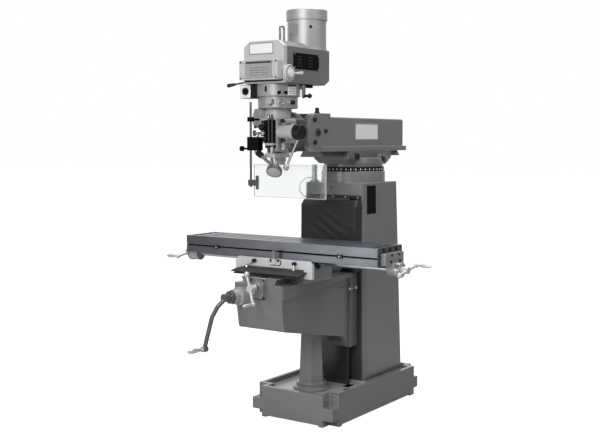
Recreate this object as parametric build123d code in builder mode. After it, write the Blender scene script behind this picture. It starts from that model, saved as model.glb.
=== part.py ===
from build123d import *
import os
from math import cos, pi, radians, sin, tan

os.makedirs("parts", exist_ok=True)

# Knee-type turret milling machine, in millimetres.
# The origin is the centre of the anchor bolts on the floor: X to the right, Y to the back, Z up.

# Fits
run_gap = 0.3            # between pieces that slide or turn on each other
screw_gap = 0.4          # round a feed screw in its nut
press_gap = 0.1          # between a shaft and what is keyed to it
end_wall = 6             # closed end of a bored hub

# Base
base_width = 548
base_depth = 980
base_height = 178
base_wall = 24
base_corner = 20
pan_depth = 28
pan_floor = 26
ear_notch = 66           # at the front corners
rear_notch = 46
ear_bottom = 40
ear_top = 106
anchor_hole_r = 11
anchor_inset = 23
foot_length = 95
foot_relief = 9
drain_length = 52
drain_width = 28
drain_x = 172
drain_y = -190

# Column
column_front = -60
column_height = 1178
column_width = 440
column_width_top = 408
column_depth = 452
column_depth_top = 404
column_corner = 26
column_wall = 26
drum_r = 191
drum_height = 65
way_root = 106
way_tip = 132
way_depth = 35
way_drop = 85            # from the column top to the top of the dovetail
arch_width = 62
arch_height = 66
arch_depth = 10

# Elevating pedestal
screw_y = -290
pedestal_flange_r = 104
pedestal_flange_h = 20
pedestal_collar_r = 86
pedestal_collar_h = 26
pedestal_r = 80
pedestal_r_top = 66
pedestal_height = 335
pedestal_bore = 24
elevating_nut_h = 60

# Turret and ram
turret_y = 160
turret_disc_h = 47
scale_r = 184
scale_height = 25
scale_wall = 6
turret_block_h = 72
turret_block_half = 120
turret_block_length = 500
turret_slope = 30
ram_half = 105
ram_lip_half = 121
ram_lip_h = 28
ram_height = 212
ram_rear_drop = 18
ram_step_y = -258
ram_back = 588
ram_nod_y = -385
ram_lip_front = -345
ram_slide_front = -290     # behind the slot of the knuckle
ram_wall = 24
ram_slot_half = 62
dovetail_h = 32
dovetail_top = 62
dovetail_bottom = 80
ram_module = 3
ram_pinion_teeth = 14
ram_pinion_y = 270
ram_pinion_width = 26
ram_rack_length = 360
pinion_boss_r = 30
pinion_boss_reach = 34
worm_x = 88
worm_y = -368
worm_r = 11
worm_height = 30

# Ram adapter and head
knuckle_r = 58
trunnion_r = 24
adapter_disc_r = 112
adapter_disc_h = 20
cheek_gap = 4
spindle_reach = 100      # from the adapter face to the spindle axis
head_drop = 109          # head casting below the tilt axis
head_rise = 126
head_barrel_r = 74
head_foot_r = 60         # barrel below the feed controls
head_front = 102         # front block ahead of the spindle axis
head_block_right = 60
head_block_left = -44      # beside the feed controls
head_foot_left = 2         # below the feed controls
head_flange_h = 24
quill_r = 43
quill_bottom = 157
quill_rise = 30
quill_travel = 127
quill_module = 2
quill_pinion_teeth = 26
quill_pinion_width = 26
rack_flat = 41
spindle_r = 28
spindle_top_r = 18
nose_r = 38
nose_h = 16
bore_r = 12.05
bore_mouth_r = 15.875
bore_length = 130
drawbar_r = 9
drawbar_head_r = 15
drawbar_head_h = 22
stop_ahead = 14          # depth stop rods ahead of the head's front
stop_xs = (24, 46)
stop_r = 5
stop_lug_drop = 58
gear_case_r = 118
lower_case_r = 107
lower_case_h = 63
upper_case_h = 67
case_wall = 14

# Belt housing and motor
housing_half = 130
housing_height = 191
housing_front = 98       # side walls ahead of the spindle axis
housing_back = 375       # behind the spindle axis
housing_cut = 70         # rear corners cut across
heel_depth = 118         # slope under the rear of the housing
heel_height = 68
hood_height = 30         # raised roof in front of the motor
hood_cut = 38
hood_length = 224
housing_wall = 8
cover_depth = 28
plate_box_depth = 58
plate_box_half = 124
plate_box_low = 16
plate_box_h = 103
motor_spacing = 276
motor_r = 108
motor_height = 170
fan_cover_r = 114
fan_cover_h = 58
pulley_r = 74
pulley_flange = 5
belt_height = 32
belt_thickness = 6
pulley_z = 112           # belt centre above the housing floor
hoop_width = 46
hoop_height = 98
hoop_bar = 9
hoop_x = -28
hoop_y = 78              # behind the spindle axis

# Knee
knee_top = 815
knee_front = -790
knee_half = 150
knee_flange_half = 163
knee_flange_front = 75
knee_flange_rear = 28
knee_nose_z = 690
knee_toe_y = -772
knee_toe_z = 570
knee_heel_y = -190
knee_heel_z = 452
knee_jaw_z = 382
knee_jaw_depth = 72
knee_wall = 22
rail_h = 35
rail_root = 98
rail_tip = 118
rail_back = -140
gib_thickness = 8
cross_screw_z = 800
cross_screw_r = 13
cross_trough_half = 22
trough_floor_gap = 4
trough_floor = 10
lift_z = 743
lift_angle = 13.3
lift_shaft_r = 13
lift_screw_r = 16
lift_screw_drop = 517
bevel_gear_r = 40
bevel_pinion_r = 20
bevel_face = 18

# Saddle and table
saddle_y = -510
saddle_half = 190
saddle_depth = 270
saddle_height = 120
apron_half = 255
apron_thickness = 20
apron_height = 95
apron_leg = 52
apron_bar = 48
table_length = 1270
table_width = 254
table_height = 95
slot_pitch = 64
slot_width = 16
slot_neck = 15
slot_wide = 28
slot_deep = 12
groove_height = 9
groove_depth = 9
groove_low = 37
trough_width = 22
trough_inset = 40
way_h = 40
way_half_root = 76
way_half_tip = 99
feed_screw_drop = 22     # X screw axis below the table
feed_screw_r = 13
feed_trough_r = 34
bracket_thickness = 28

# Heights and places that follow from the sizes above
deck_z = base_height - pan_depth
column_top = deck_z + column_height
drum_top = column_top + drum_height
turret_z = drum_top + run_gap
block_z = turret_z + turret_disc_h
block_top = block_z + turret_block_h
ram_z = block_top + run_gap
ram_top = ram_z + ram_height
nod_z = ram_z + ram_height / 2
cheek_r = ram_height / 2
disc_back_y = ram_nod_y - cheek_r - cheek_gap
disc_front_y = disc_back_y - adapter_disc_h
flange_back_y = disc_front_y - run_gap
spindle_y = flange_back_y - spindle_reach
head_z = nod_z - head_drop
case_z = nod_z + head_rise
upper_case_z = case_z + lower_case_h
housing_z = upper_case_z + upper_case_h
housing_top = housing_z + housing_height
hood_top = housing_top + hood_height
motor_y = spindle_y + motor_spacing
quill_z = nod_z - quill_bottom
quill_top = case_z + quill_rise
stop_y = spindle_y - head_front - stop_ahead
stop_lug_z = nod_z - stop_lug_drop
saddle_z = knee_top + run_gap
table_z = saddle_z + saddle_height + run_gap
table_top = table_z + table_height
feed_z = table_z - feed_screw_drop
saddle_front = saddle_y - saddle_depth / 2
lift_x = sin(radians(lift_angle))
lift_y = cos(radians(lift_angle))


def at_x(x):
    """Plane across X: its own x is Y and its own y is Z."""
    return Plane.YZ.offset(x)


def at_y(y):
    """Plane across Y, facing the front: its own x is X and its own y is Z."""
    return Plane.XZ.offset(-y)


def at_z(z):
    return Plane.XY.offset(z)


def rod(start, end, radius, mode=Mode.ADD):
    """Round bar between two points, inside the open part."""
    run = Vector(*end) - Vector(*start)
    with Locations(Plane(origin=start, z_dir=run)):
        Cylinder(radius, run.length, align=(Align.CENTER, Align.CENTER, Align.MIN), mode=mode)


def block(low, high, mode=Mode.ADD):
    """Box between two corners, inside the open part."""
    size = Vector(*high) - Vector(*low)
    with Locations(low):
        Box(size.X, size.Y, size.Z, align=(Align.MIN, Align.MIN, Align.MIN), mode=mode)


def tooth(root_r, tip_r, root_half, tip_half):
    """One straight-sided gear tooth that points along the sketch's x."""
    return Polygon(
        (root_r, -root_half), (tip_r, -tip_half), (tip_r, tip_half), (root_r, root_half), align=None
    )


def gear(module, teeth, start):
    """Gear outline with a little room between its teeth and a rack's."""
    pitch_r = module * teeth / 2
    root_r = pitch_r - 1.25 * module
    Circle(root_r)
    with PolarLocations(0, teeth, start_angle=start):
        tooth(root_r - 0.5, pitch_r + 0.9 * module, 0.92 * module, 0.34 * module)


def rack_gap(module):
    """Room between two rack teeth, open along the sketch's -y."""
    depth = 2.3 * module
    return Polygon(
        (-1.32 * module, 0), (1.32 * module, 0), (0.62 * module, depth), (-0.62 * module, depth),
        align=None,
    )


def ball_crank(plane, hub_r, hub_length, shaft_r, ball_arm, handle_arm, lean):
    """Ball crank with a fixed grip: the plane's z is the shaft, its x points to the grip."""
    ball_r = 15
    arm_r = 8
    boss_r = 13
    grip_r = 10
    grip_length = 92
    base = hub_length + lean - arm_r
    with BuildPart() as crank:
        Cylinder(hub_r, hub_length, align=(Align.CENTER, Align.CENTER, Align.MIN))
        rod((0, 0, hub_length - arm_r), (handle_arm, 0, base), arm_r)
        rod((0, 0, hub_length - arm_r), (-ball_arm, 0, hub_length - arm_r - lean / 2), arm_r - 1)
        with Locations((-ball_arm, 0, hub_length - arm_r - lean / 2)):
            Sphere(ball_r)
        with Locations((handle_arm, 0, base)):
            Sphere(boss_r)
        with BuildSketch(Plane.XZ):
            with BuildLine():
                Polyline(
                    (handle_arm, base + grip_length), (handle_arm, base), (handle_arm + grip_r * 0.6, base)
                )
                Spline(
                    (handle_arm + grip_r * 0.6, base),
                    (handle_arm + grip_r * 0.7, base + grip_length * 0.2),
                    (handle_arm + grip_r, base + grip_length * 0.7),
                    (handle_arm, base + grip_length),
                )
            make_face()
        revolve(axis=Axis((handle_arm, 0, 0), (0, 0, 1)))
        Cylinder(
            shaft_r + press_gap, hub_length - end_wall, align=(Align.CENTER, Align.CENTER, Align.MIN),
            mode=Mode.SUBTRACT,
        )
    return crank.part.moved(plane.location)


def lock_lever(plane, length, lean):
    """Clamp lever: hub on the plane, arm towards the plane's x with a ball at its end."""
    hub_r = 10
    hub_length = 20
    arm_r = 4.5
    ball_r = 8
    with BuildPart() as lever:
        Cylinder(hub_r, hub_length, align=(Align.CENTER, Align.CENTER, Align.MIN))
        rod((0, 0, hub_length - arm_r - 1), (length, 0, hub_length + lean), arm_r)
        with Locations((length, 0, hub_length + lean)):
            Sphere(ball_r)
    return lever.part.moved(plane.location)


def save(piece, name):
    piece.label = name
    export_step(piece, f"parts/{name}.step")


# Base casting: open box with a chip pan, notched corners and anchor ears
corners = [(side, end, ear_notch if end < 0 else rear_notch) for side in (-1, 1) for end in (-1, 1)]
with BuildPart() as base_casting:
    with BuildSketch():
        RectangleRounded(base_width, base_depth, base_corner)
    extrude(amount=base_height)
    with BuildSketch():
        Rectangle(base_width - 2 * base_wall, base_depth - 2 * base_wall)
    extrude(amount=deck_z - pan_floor, mode=Mode.SUBTRACT)
    with BuildSketch(at_z(deck_z)):
        Rectangle(base_width - 2 * base_wall, base_depth - 2 * base_wall)
    extrude(amount=pan_depth, mode=Mode.SUBTRACT)
    for side, end, notch in corners:
        corner = Location((side * base_width / 2, end * base_depth / 2))
        towards = (Align.MAX if side > 0 else Align.MIN, Align.MAX if end > 0 else Align.MIN)
        with BuildSketch():
            with Locations(corner):
                Rectangle(notch + base_wall, notch + base_wall, align=towards)
        extrude(amount=base_height)
        with BuildSketch():
            with Locations(corner):
                Rectangle(2 * notch, 2 * notch)
        extrude(amount=ear_bottom, mode=Mode.SUBTRACT)
        with BuildSketch(at_z(ear_top)):
            with Locations(corner):
                Rectangle(2 * notch, 2 * notch)
        extrude(amount=base_height - ear_top, mode=Mode.SUBTRACT)
        with BuildSketch():
            with Locations((side * (base_width / 2 - anchor_inset), end * (base_depth / 2 - anchor_inset))):
                Circle(anchor_hole_r)
        extrude(amount=ear_top, mode=Mode.SUBTRACT)
    block(
        (-base_width / 2 + foot_length, -base_depth, 0),
        (base_width / 2 - foot_length, base_depth, foot_relief),
        mode=Mode.SUBTRACT,
    )
    block(
        (-base_width, -base_depth / 2 + foot_length, 0),
        (base_width, base_depth / 2 - foot_length, foot_relief),
        mode=Mode.SUBTRACT,
    )
    with BuildSketch(at_z(deck_z)):
        with Locations((0, screw_y)):
            Circle(pedestal_bore)
        with Locations((drain_x, drain_y)):
            Rectangle(drain_width, drain_length)
    extrude(amount=-pan_floor, mode=Mode.SUBTRACT)
save(base_casting.part, "base_casting")

# Column casting: tapered hollow column, dovetail way in front, round seat for the turret on top
with BuildPart() as column_casting:
    with BuildSketch(at_z(deck_z)):
        with Locations((0, column_front + column_depth / 2)):
            RectangleRounded(column_width, column_depth, column_corner)
    with BuildSketch(at_z(column_top)):
        with Locations((0, column_front + column_depth_top / 2)):
            RectangleRounded(column_width_top, column_depth_top, column_corner)
    loft()
    with BuildSketch(at_z(column_top)):
        with Locations((0, turret_y)):
            Circle(drum_r)
    extrude(amount=drum_height)
    fillet(column_casting.faces().sort_by(Axis.Z)[-1].outer_wire().edges(), 3)
    with BuildSketch(at_z(deck_z)):
        with Locations((0, column_front + column_depth / 2)):
            Rectangle(column_width - 2 * column_wall, column_depth - 2 * column_wall)
    with BuildSketch(at_z(column_top - column_wall)):
        with Locations((0, column_front + column_depth_top / 2)):
            Rectangle(column_width_top - 2 * column_wall, column_depth_top - 2 * column_wall)
    loft(mode=Mode.SUBTRACT)
    with BuildSketch(at_z(deck_z)):
        Polygon(
            (-way_root, column_front + 1), (-way_root, column_front),
            (-way_tip, column_front - way_depth), (way_tip, column_front - way_depth),
            (way_root, column_front), (way_root, column_front + 1),
            align=None,
        )
    extrude(amount=column_height - way_drop)
    with BuildSketch(at_y(column_front)):
        with Locations((0, column_top - way_drop + arch_height / 2)):
            SlotOverall(arch_height, arch_width, rotation=90)
        with Locations((0, column_top - way_drop)):
            Rectangle(arch_width, arch_height, align=(Align.CENTER, Align.MAX), mode=Mode.SUBTRACT)
    extrude(amount=-arch_depth, mode=Mode.SUBTRACT)
    with BuildSketch(at_z(column_top - column_wall)):
        with Locations((0, turret_y)):
            Circle(drum_r - 2 * column_wall)
    extrude(amount=drum_height + column_wall, mode=Mode.SUBTRACT)
save(column_casting.part, "column_casting")

# Elevating pedestal: round flange and collar, six-sided tapered post, nut bored into its top
with BuildPart() as elevating_pedestal:
    with BuildSketch(at_z(deck_z)):
        with Locations((0, screw_y)):
            Circle(pedestal_flange_r)
    extrude(amount=pedestal_flange_h)
    fillet(elevating_pedestal.faces().sort_by(Axis.Z)[-1].edges(), pedestal_flange_h / 2 - 1)
    with BuildSketch(at_z(deck_z + pedestal_flange_h)):
        with Locations((0, screw_y)):
            Circle(pedestal_collar_r)
    extrude(amount=pedestal_collar_h)
    with BuildSketch(at_z(deck_z + pedestal_flange_h)):
        with Locations((0, screw_y)):
            RegularPolygon(pedestal_r, 6)
    with BuildSketch(at_z(deck_z + pedestal_height)):
        with Locations((0, screw_y)):
            RegularPolygon(pedestal_r_top, 6)
    loft()
    with BuildSketch(at_z(deck_z)):
        with Locations((0, screw_y)):
            Circle(pedestal_bore)
    extrude(amount=pedestal_height - elevating_nut_h, mode=Mode.SUBTRACT)
    with BuildSketch(at_z(deck_z)):
        with Locations((0, screw_y)):
            Circle(lift_screw_r + screw_gap)
    extrude(amount=pedestal_height, mode=Mode.SUBTRACT)
save(elevating_pedestal.part, "elevating_pedestal")

# Rubber way cover: hung from the column face, drawn in at the top and bulging over the knee
cover_half = 195
cover_top = column_top - way_drop - 12
cover_bottom = knee_top + 6
cover_thickness = 4
cover_bulge = 66
cover_neck = 48
cover_corner = 16
cover_levels = [
    (cover_top, cover_neck - 8, 8), (cover_top - 34, cover_bulge, 0),
    ((cover_top + cover_bottom) / 2, cover_bulge + 3, 2), (cover_bottom, cover_bulge - 2, 4),
]
with BuildPart() as way_cover:
    for level_z, reach, draw_in in cover_levels:
        with BuildSketch(at_z(level_z)):
            with BuildLine():
                FilletPolyline(
                    (-cover_half + draw_in, column_front - run_gap),
                    (-cover_half + draw_in, column_front - reach),
                    (cover_half - draw_in, column_front - reach),
                    (cover_half - draw_in, column_front - run_gap),
                    radius=cover_corner, close=False,
                )
                Line(
                    (cover_half - draw_in, column_front - run_gap),
                    (-cover_half + draw_in, column_front - run_gap),
                )
            make_face()
    loft(ruled=True)
    for level_z, reach, draw_in in cover_levels:
        inner = cover_half - draw_in - cover_thickness
        with BuildSketch(at_z(level_z)):
            with BuildLine():
                FilletPolyline(
                    (-inner, column_front), (-inner, column_front - reach + cover_thickness),
                    (inner, column_front - reach + cover_thickness), (inner, column_front),
                    radius=cover_corner - cover_thickness, close=False,
                )
                Line((inner, column_front), (-inner, column_front))
            make_face()
    loft(ruled=True, mode=Mode.SUBTRACT)
save(way_cover.part, "way_cover")

# Oil post on the column's shoulder, with its thin line looping back into the column face
post_x = -150
post_y = -35
post_r = 15
post_height = 104
line_r = 2.5
post_foot = 40
post_foot_h = 12
line_exit = column_top + 26
line_out = 46             # how far the loop stands out to the left and to the front
line_ahead = 92
line_drop = 92
line_points = [
    (post_x - 6, post_y - post_r + 3, line_exit),
    (post_x - line_out + 20, post_y - line_ahead + 40, line_exit),
    (post_x - line_out + 2, post_y - line_ahead + 6, column_top - 6),
    (post_x - line_out, post_y - line_ahead, column_top - line_drop + 42),
    (post_x - line_out + 16, post_y - line_ahead + 26, column_top - line_drop + 8),
    (post_x - 12, column_front - 1.4, column_top - line_drop),
]
with BuildPart() as oil_line:
    with BuildSketch(at_z(column_top)):
        with Locations((post_x, post_y)):
            RectangleRounded(post_foot, post_foot, 6)
    extrude(amount=post_foot_h)
    rod((post_x, post_y, column_top + post_foot_h), (post_x, post_y, column_top + post_height), post_r)
    with BuildLine() as line_path:
        FilletPolyline(*line_points, radius=20)
    with BuildSketch(Plane(origin=line_path.line @ 0, z_dir=line_path.line % 0)):
        Circle(line_r)
    sweep(path=line_path.line)
save(oil_line.part, "oil_line")

# Turret casting: disc on the column, long block with the ram's dovetail and the pinion bore
pinion_pitch_r = ram_module * ram_pinion_teeth / 2
rack_z = ram_z - dovetail_h
pinion_z = rack_z + ram_module - pinion_pitch_r
block_front = turret_y - turret_block_length / 2
with BuildPart() as turret_casting:
    with BuildSketch(at_z(turret_z)):
        with Locations((0, turret_y)):
            Circle(scale_r - scale_wall)
    extrude(amount=turret_disc_h)
    with BuildSketch(at_z(block_z)):
        with Locations((0, turret_y)):
            Circle(scale_r - scale_wall)
    extrude(amount=turret_slope, taper=12)
    with BuildSketch(at_z(block_top)):
        with Locations((0, turret_y)):
            RectangleRounded(2 * turret_block_half, turret_block_length, 6)
    extrude(amount=-(turret_block_h - turret_slope))
    with BuildSketch(at_z(block_z + turret_slope)):
        with Locations((0, turret_y)):
            Rectangle(2 * turret_block_half, turret_block_length)
    extrude(amount=-turret_slope, taper=38)
    with BuildSketch(at_x(turret_block_half)):
        with Locations((ram_pinion_y, pinion_z)):
            Circle(pinion_boss_r)
    extrude(amount=pinion_boss_reach)
    with BuildSketch(at_y(block_front)):
        Polygon(
            (-dovetail_top - run_gap, block_top + 1), (-dovetail_top - run_gap, block_top),
            (-dovetail_bottom - run_gap, rack_z - run_gap), (dovetail_bottom + run_gap, rack_z - run_gap),
            (dovetail_top + run_gap, block_top), (dovetail_top + run_gap, block_top + 1),
            align=None,
        )
    extrude(amount=-turret_block_length, mode=Mode.SUBTRACT)
    with BuildSketch(at_x(-ram_pinion_width / 2 - 2)):
        with Locations((ram_pinion_y, pinion_z)):
            Circle(pinion_pitch_r + ram_module + 2)
    extrude(amount=ram_pinion_width + 4, mode=Mode.SUBTRACT)
    rod(
        (-ram_pinion_width, ram_pinion_y, pinion_z),
        (turret_block_half + pinion_boss_reach, ram_pinion_y, pinion_z),
        worm_r + run_gap, mode=Mode.SUBTRACT,
    )
save(turret_casting.part, "turret_casting")

with BuildPart() as turret_scale_ring:
    with BuildSketch(at_z(turret_z)):
        with Locations((0, turret_y)):
            Circle(scale_r)
            Circle(scale_r - scale_wall, mode=Mode.SUBTRACT)
    extrude(amount=scale_height)
save(turret_scale_ring.part, "turret_scale_ring")

# Ram pinion shaft: pinion under the rack, hexagon end in the side boss
with BuildPart() as ram_pinion_shaft:
    with BuildSketch(at_x(-ram_pinion_width / 2)):
        with Locations((ram_pinion_y, pinion_z)):
            gear(ram_module, ram_pinion_teeth, 90)
    extrude(amount=ram_pinion_width)
    rod(
        (-ram_pinion_width + 1, ram_pinion_y, pinion_z),
        (turret_block_half + pinion_boss_reach + 6, ram_pinion_y, pinion_z), worm_r,
    )
    with BuildSketch(at_x(turret_block_half + pinion_boss_reach + 2)):
        with Locations((ram_pinion_y, pinion_z)):
            RegularPolygon(worm_r + 7, 6)
    extrude(amount=16)
save(ram_pinion_shaft.part, "ram_pinion_shaft")

# Ram casting: hollow beam with round cheeks, lip, dovetail and rack
rack_count = int(ram_rack_length / (pi * ram_module))
worm_sink = 40
with BuildPart() as ram_casting:
    with BuildSketch(at_x(-ram_half)):
        with BuildLine():
            ThreePointArc(
                (ram_nod_y, ram_top), (ram_nod_y - cheek_r, nod_z), (ram_nod_y, ram_z)
            )
            Polyline(
                (ram_nod_y, ram_z), (ram_back, ram_z), (ram_back, ram_top - ram_rear_drop),
                (ram_step_y, ram_top - ram_rear_drop), (ram_step_y, ram_top), (ram_nod_y, ram_top),
            )
        make_face()
    extrude(amount=2 * ram_half)
    rear_edges = ram_casting.edges().filter_by(Axis.X).group_by(Axis.Y)[-1].sort_by(Axis.Z)[-1]
    fillet(rear_edges, 16)
    top_edges = ram_casting.edges().filter_by(Axis.Y).group_by(Axis.Z)[-2]
    fillet(top_edges, 9)
    block(
        (-ram_lip_half, ram_lip_front, ram_z), (ram_lip_half, ram_back + 10, ram_z + ram_lip_h)
    )
    with BuildSketch(at_y(ram_slide_front)):
        Polygon(
            (-dovetail_top, ram_z + 1), (-dovetail_top, ram_z), (-dovetail_bottom, rack_z),
            (dovetail_bottom, rack_z), (dovetail_top, ram_z), (dovetail_top, ram_z + 1),
            align=None,
        )
    extrude(amount=ram_slide_front - ram_back)
    block(
        (-ram_slot_half, ram_nod_y - cheek_r - 1, ram_z - 1),
        (ram_slot_half, ram_nod_y + knuckle_r + 16, ram_top + 1), mode=Mode.SUBTRACT,
    )
    block(
        (-ram_half + ram_wall, ram_nod_y + knuckle_r + 16 + ram_wall, ram_z + ram_lip_h),
        (ram_half - ram_wall, ram_back - ram_wall, ram_top - ram_rear_drop - ram_wall), mode=Mode.SUBTRACT,
    )
    rod((-ram_half, ram_nod_y, nod_z), (ram_half, ram_nod_y, nod_z), trunnion_r + run_gap, mode=Mode.SUBTRACT)
    with BuildSketch(at_x(-ram_pinion_width / 2 - 2)):
        with Locations(*[
            (ram_pinion_y + (k - rack_count // 2) * pi * ram_module, rack_z) for k in range(rack_count)
        ]):
            rack_gap(ram_module)
    extrude(amount=ram_pinion_width + 4, mode=Mode.SUBTRACT)
    rod(
        (worm_x, worm_y, ram_top - worm_sink), (worm_x, worm_y, ram_top + 1), worm_r + run_gap,
        mode=Mode.SUBTRACT,
    )
save(ram_casting.part, "ram_casting")

with BuildPart() as nod_worm_shaft:
    rod((worm_x, worm_y, ram_top - worm_sink + run_gap), (worm_x, worm_y, ram_top + worm_height), worm_r)
    with BuildSketch(at_z(ram_top + 2)):
        with Locations((worm_x, worm_y)):
            Circle(worm_r + 4)
    extrude(amount=6)
save(nod_worm_shaft.part, "nod_worm_shaft")

# Ram adapter: knuckle with trunnions between the cheeks, round face for the head
with BuildPart() as ram_adapter:
    rod((-ram_slot_half + run_gap, ram_nod_y, nod_z), (ram_slot_half - run_gap, ram_nod_y, nod_z), knuckle_r)
    rod((-ram_half - 4, ram_nod_y, nod_z), (ram_half + 4, ram_nod_y, nod_z), trunnion_r)
    block(
        (-ram_slot_half + run_gap, disc_back_y - 1, nod_z - knuckle_r),
        (ram_slot_half - run_gap, ram_nod_y, nod_z + knuckle_r),
    )
    rod((0, disc_back_y, nod_z), (0, disc_front_y, nod_z), adapter_disc_r)
    for side in (-1, 1):
        with BuildSketch(at_z(nod_z)):
            Polygon(
                (side * (ram_slot_half - 1), disc_back_y), (side * (adapter_disc_r - 14), disc_back_y),
                (side * (ram_slot_half - 1), disc_back_y + cheek_gap - run_gap),
                align=None,
            )
        extrude(amount=30, both=True)
save(ram_adapter.part, "ram_adapter")

# Head casting: quill barrel, front block for the pinion, flange on the adapter
rack_pitch = rack_flat - quill_module
quill_pinion_r = quill_module * quill_pinion_teeth / 2
pinion_y = spindle_y - rack_pitch - quill_pinion_r
pinion_x = 178
feed_shaft_r = 11
pinion_tip_r = quill_pinion_r + quill_module
head_block_rise = 66
clamp_boss_zs = (nod_z + 58, nod_z - 44)
clamp_boss_y = spindle_y - 34    # web between barrel and boss
clamp_boss_x = 92
clamp_boss_front = spindle_y - 75
clamp_boss_left = spindle_y - 8    # front of the shorter bosses behind the gear case
clamp_boss_r = 16
pinion_neck = 34
pinion_hub_r = 38
pinion_flange_r = 44
pinion_far = 40           # end of the feed shaft's bore, left of the spindle
stop_lug_h = 12
head_step_z = nod_z - 22    # barrel and front block are wider above this height
with BuildPart() as head_casting:
    with BuildSketch(at_z(head_z)):
        with Locations((0, spindle_y)):
            Circle(head_foot_r)
    extrude(amount=head_step_z + 1 - head_z)
    with BuildSketch(at_z(head_step_z)):
        with Locations((0, spindle_y)):
            Circle(head_barrel_r)
    extrude(amount=head_z + head_drop + head_rise - head_step_z)
    rod((0, flange_back_y, nod_z), (0, flange_back_y - head_flange_h, nod_z), adapter_disc_r)
    with BuildSketch(at_y(flange_back_y - head_flange_h)):
        with Locations((0, nod_z)):
            Circle(adapter_disc_r)
    with BuildSketch(at_y(spindle_y + 8)):
        with Locations((0, nod_z)):
            Rectangle(2 * head_barrel_r - 6, 1.4 * adapter_disc_r)
    loft()
    block_top = head_z + 6 + head_drop + head_block_rise
    for left, low, high in (
        (head_foot_left, head_z + 6, head_step_z + 1), (head_block_left, head_step_z, block_top),
    ):
        with BuildSketch(at_z(low)):
            with Locations(((left + head_block_right) / 2, spindle_y - head_front / 2)):
                RectangleRounded(head_block_right - left, head_front, 8)
        extrude(amount=high - low)
    for boss_z in clamp_boss_zs:
        rod((0, clamp_boss_y, boss_z), (clamp_boss_x, clamp_boss_y, boss_z), clamp_boss_r - 3)
        for boss_x, boss_front in ((clamp_boss_x, clamp_boss_front), (-clamp_boss_x, clamp_boss_left)):
            rod((boss_x, boss_front, boss_z), (boss_x, flange_back_y - 1, boss_z), clamp_boss_r)
    rod((0, pinion_y, nod_z), (pinion_x - pinion_neck + 2, pinion_y, nod_z), pinion_hub_r)
    rod(
        (pinion_x - pinion_neck, pinion_y, nod_z), (pinion_x - pinion_neck / 2, pinion_y, nod_z),
        pinion_flange_r,
    )
    with BuildSketch(at_z(head_z)):
        with Locations((0, spindle_y)):
            Circle(quill_r + run_gap)
    extrude(amount=head_drop + head_rise, mode=Mode.SUBTRACT)
    rod(
        (-quill_pinion_width / 2 - 2, pinion_y, nod_z), (quill_pinion_width / 2 + 2, pinion_y, nod_z),
        pinion_tip_r + 1, mode=Mode.SUBTRACT,
    )
    rod(
        (-pinion_far, pinion_y, nod_z), (pinion_x, pinion_y, nod_z), feed_shaft_r + run_gap,
        mode=Mode.SUBTRACT,
    )
    block(
        (stop_xs[0] - stop_lug_h, stop_y - stop_lug_h + 1, stop_lug_z - stop_lug_h),
        (stop_xs[1] + stop_lug_h, spindle_y - head_front + 1, stop_lug_z),
    )
    for stop_x in stop_xs:
        rod(
            (stop_x, stop_y, stop_lug_z - stop_lug_h), (stop_x, stop_y, stop_lug_z), stop_r + run_gap,
            mode=Mode.SUBTRACT,
        )
save(head_casting.part, "head_casting")

# Feed gear case: flat pear-shaped cover on the left of the barrel
ear_front = spindle_y - 62
ear_depth = 40
ear_root = -44
ear_reach = -128
ear_foot = nod_z + 22
with BuildPart() as feed_gear_case:
    with BuildSketch(at_y(ear_front + ear_depth)):
        with BuildLine():
            FilletPolyline(
                (ear_root, case_z - run_gap), (ear_reach + 16, case_z - run_gap),
                (ear_reach, ear_foot + 50), (ear_reach + 10, ear_foot + 12),
                (ear_root - 16, ear_foot), (ear_root, ear_foot + 18),
                radius=14, close=True,
            )
        make_face()
    extrude(amount=ear_depth)
    with BuildSketch(at_z(nod_z)):
        with Locations((0, spindle_y)):
            Circle(head_barrel_r)
    extrude(amount=head_rise, mode=Mode.SUBTRACT)
save(feed_gear_case.part, "feed_gear_case")

# Lower and upper gear case: two round drums
with BuildPart() as lower_gear_case:
    with BuildSketch(at_z(case_z)):
        with Locations((0, spindle_y)):
            Circle(lower_case_r)
    extrude(amount=lower_case_h)
    fillet(lower_gear_case.edges().filter_by(GeomType.CIRCLE).sort_by(Axis.Z)[0], 6)
    rod(
        (26, spindle_y - lower_case_r + 16, case_z + 36), (33, spindle_y - lower_case_r - 22, case_z + 36), 18
    )
    with BuildSketch(at_z(case_z)):
        with Locations((0, spindle_y)):
            Circle(quill_r + 6)
    extrude(amount=lower_case_h, mode=Mode.SUBTRACT)
save(lower_gear_case.part, "lower_gear_case")

with BuildPart() as upper_gear_case:
    with BuildSketch(at_z(upper_case_z)):
        with Locations((0, spindle_y)):
            Circle(gear_case_r + 2)
    extrude(amount=upper_case_h)
    fillet(upper_gear_case.edges().filter_by(GeomType.CIRCLE).sort_by(Axis.Z)[0], 3)
    with BuildSketch(at_z(upper_case_z)):
        with Locations((0, spindle_y)):
            Circle(gear_case_r - case_wall)
            Circle(spindle_top_r + 14, mode=Mode.SUBTRACT)
    extrude(amount=upper_case_h - case_wall, mode=Mode.SUBTRACT)
    with BuildSketch(at_z(upper_case_z)):
        with Locations((0, spindle_y)):
            Circle(spindle_top_r + 4)
    extrude(amount=upper_case_h, mode=Mode.SUBTRACT)
save(upper_gear_case.part, "upper_gear_case")

# Belt housing: shell over both pulleys, cut across at the rear, floor and roof bored
front_y = spindle_y - housing_front
rear_y = spindle_y + housing_back


def housing_plan(inset):
    half = housing_half - inset
    cut = housing_cut - inset * tan(radians(22.5))
    return Polygon(
        (-half, front_y), (half, front_y), (half, rear_y - inset - cut), (half - cut, rear_y - inset),
        (-half + cut, rear_y - inset), (-half, rear_y - inset - cut), align=None,
    )


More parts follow.
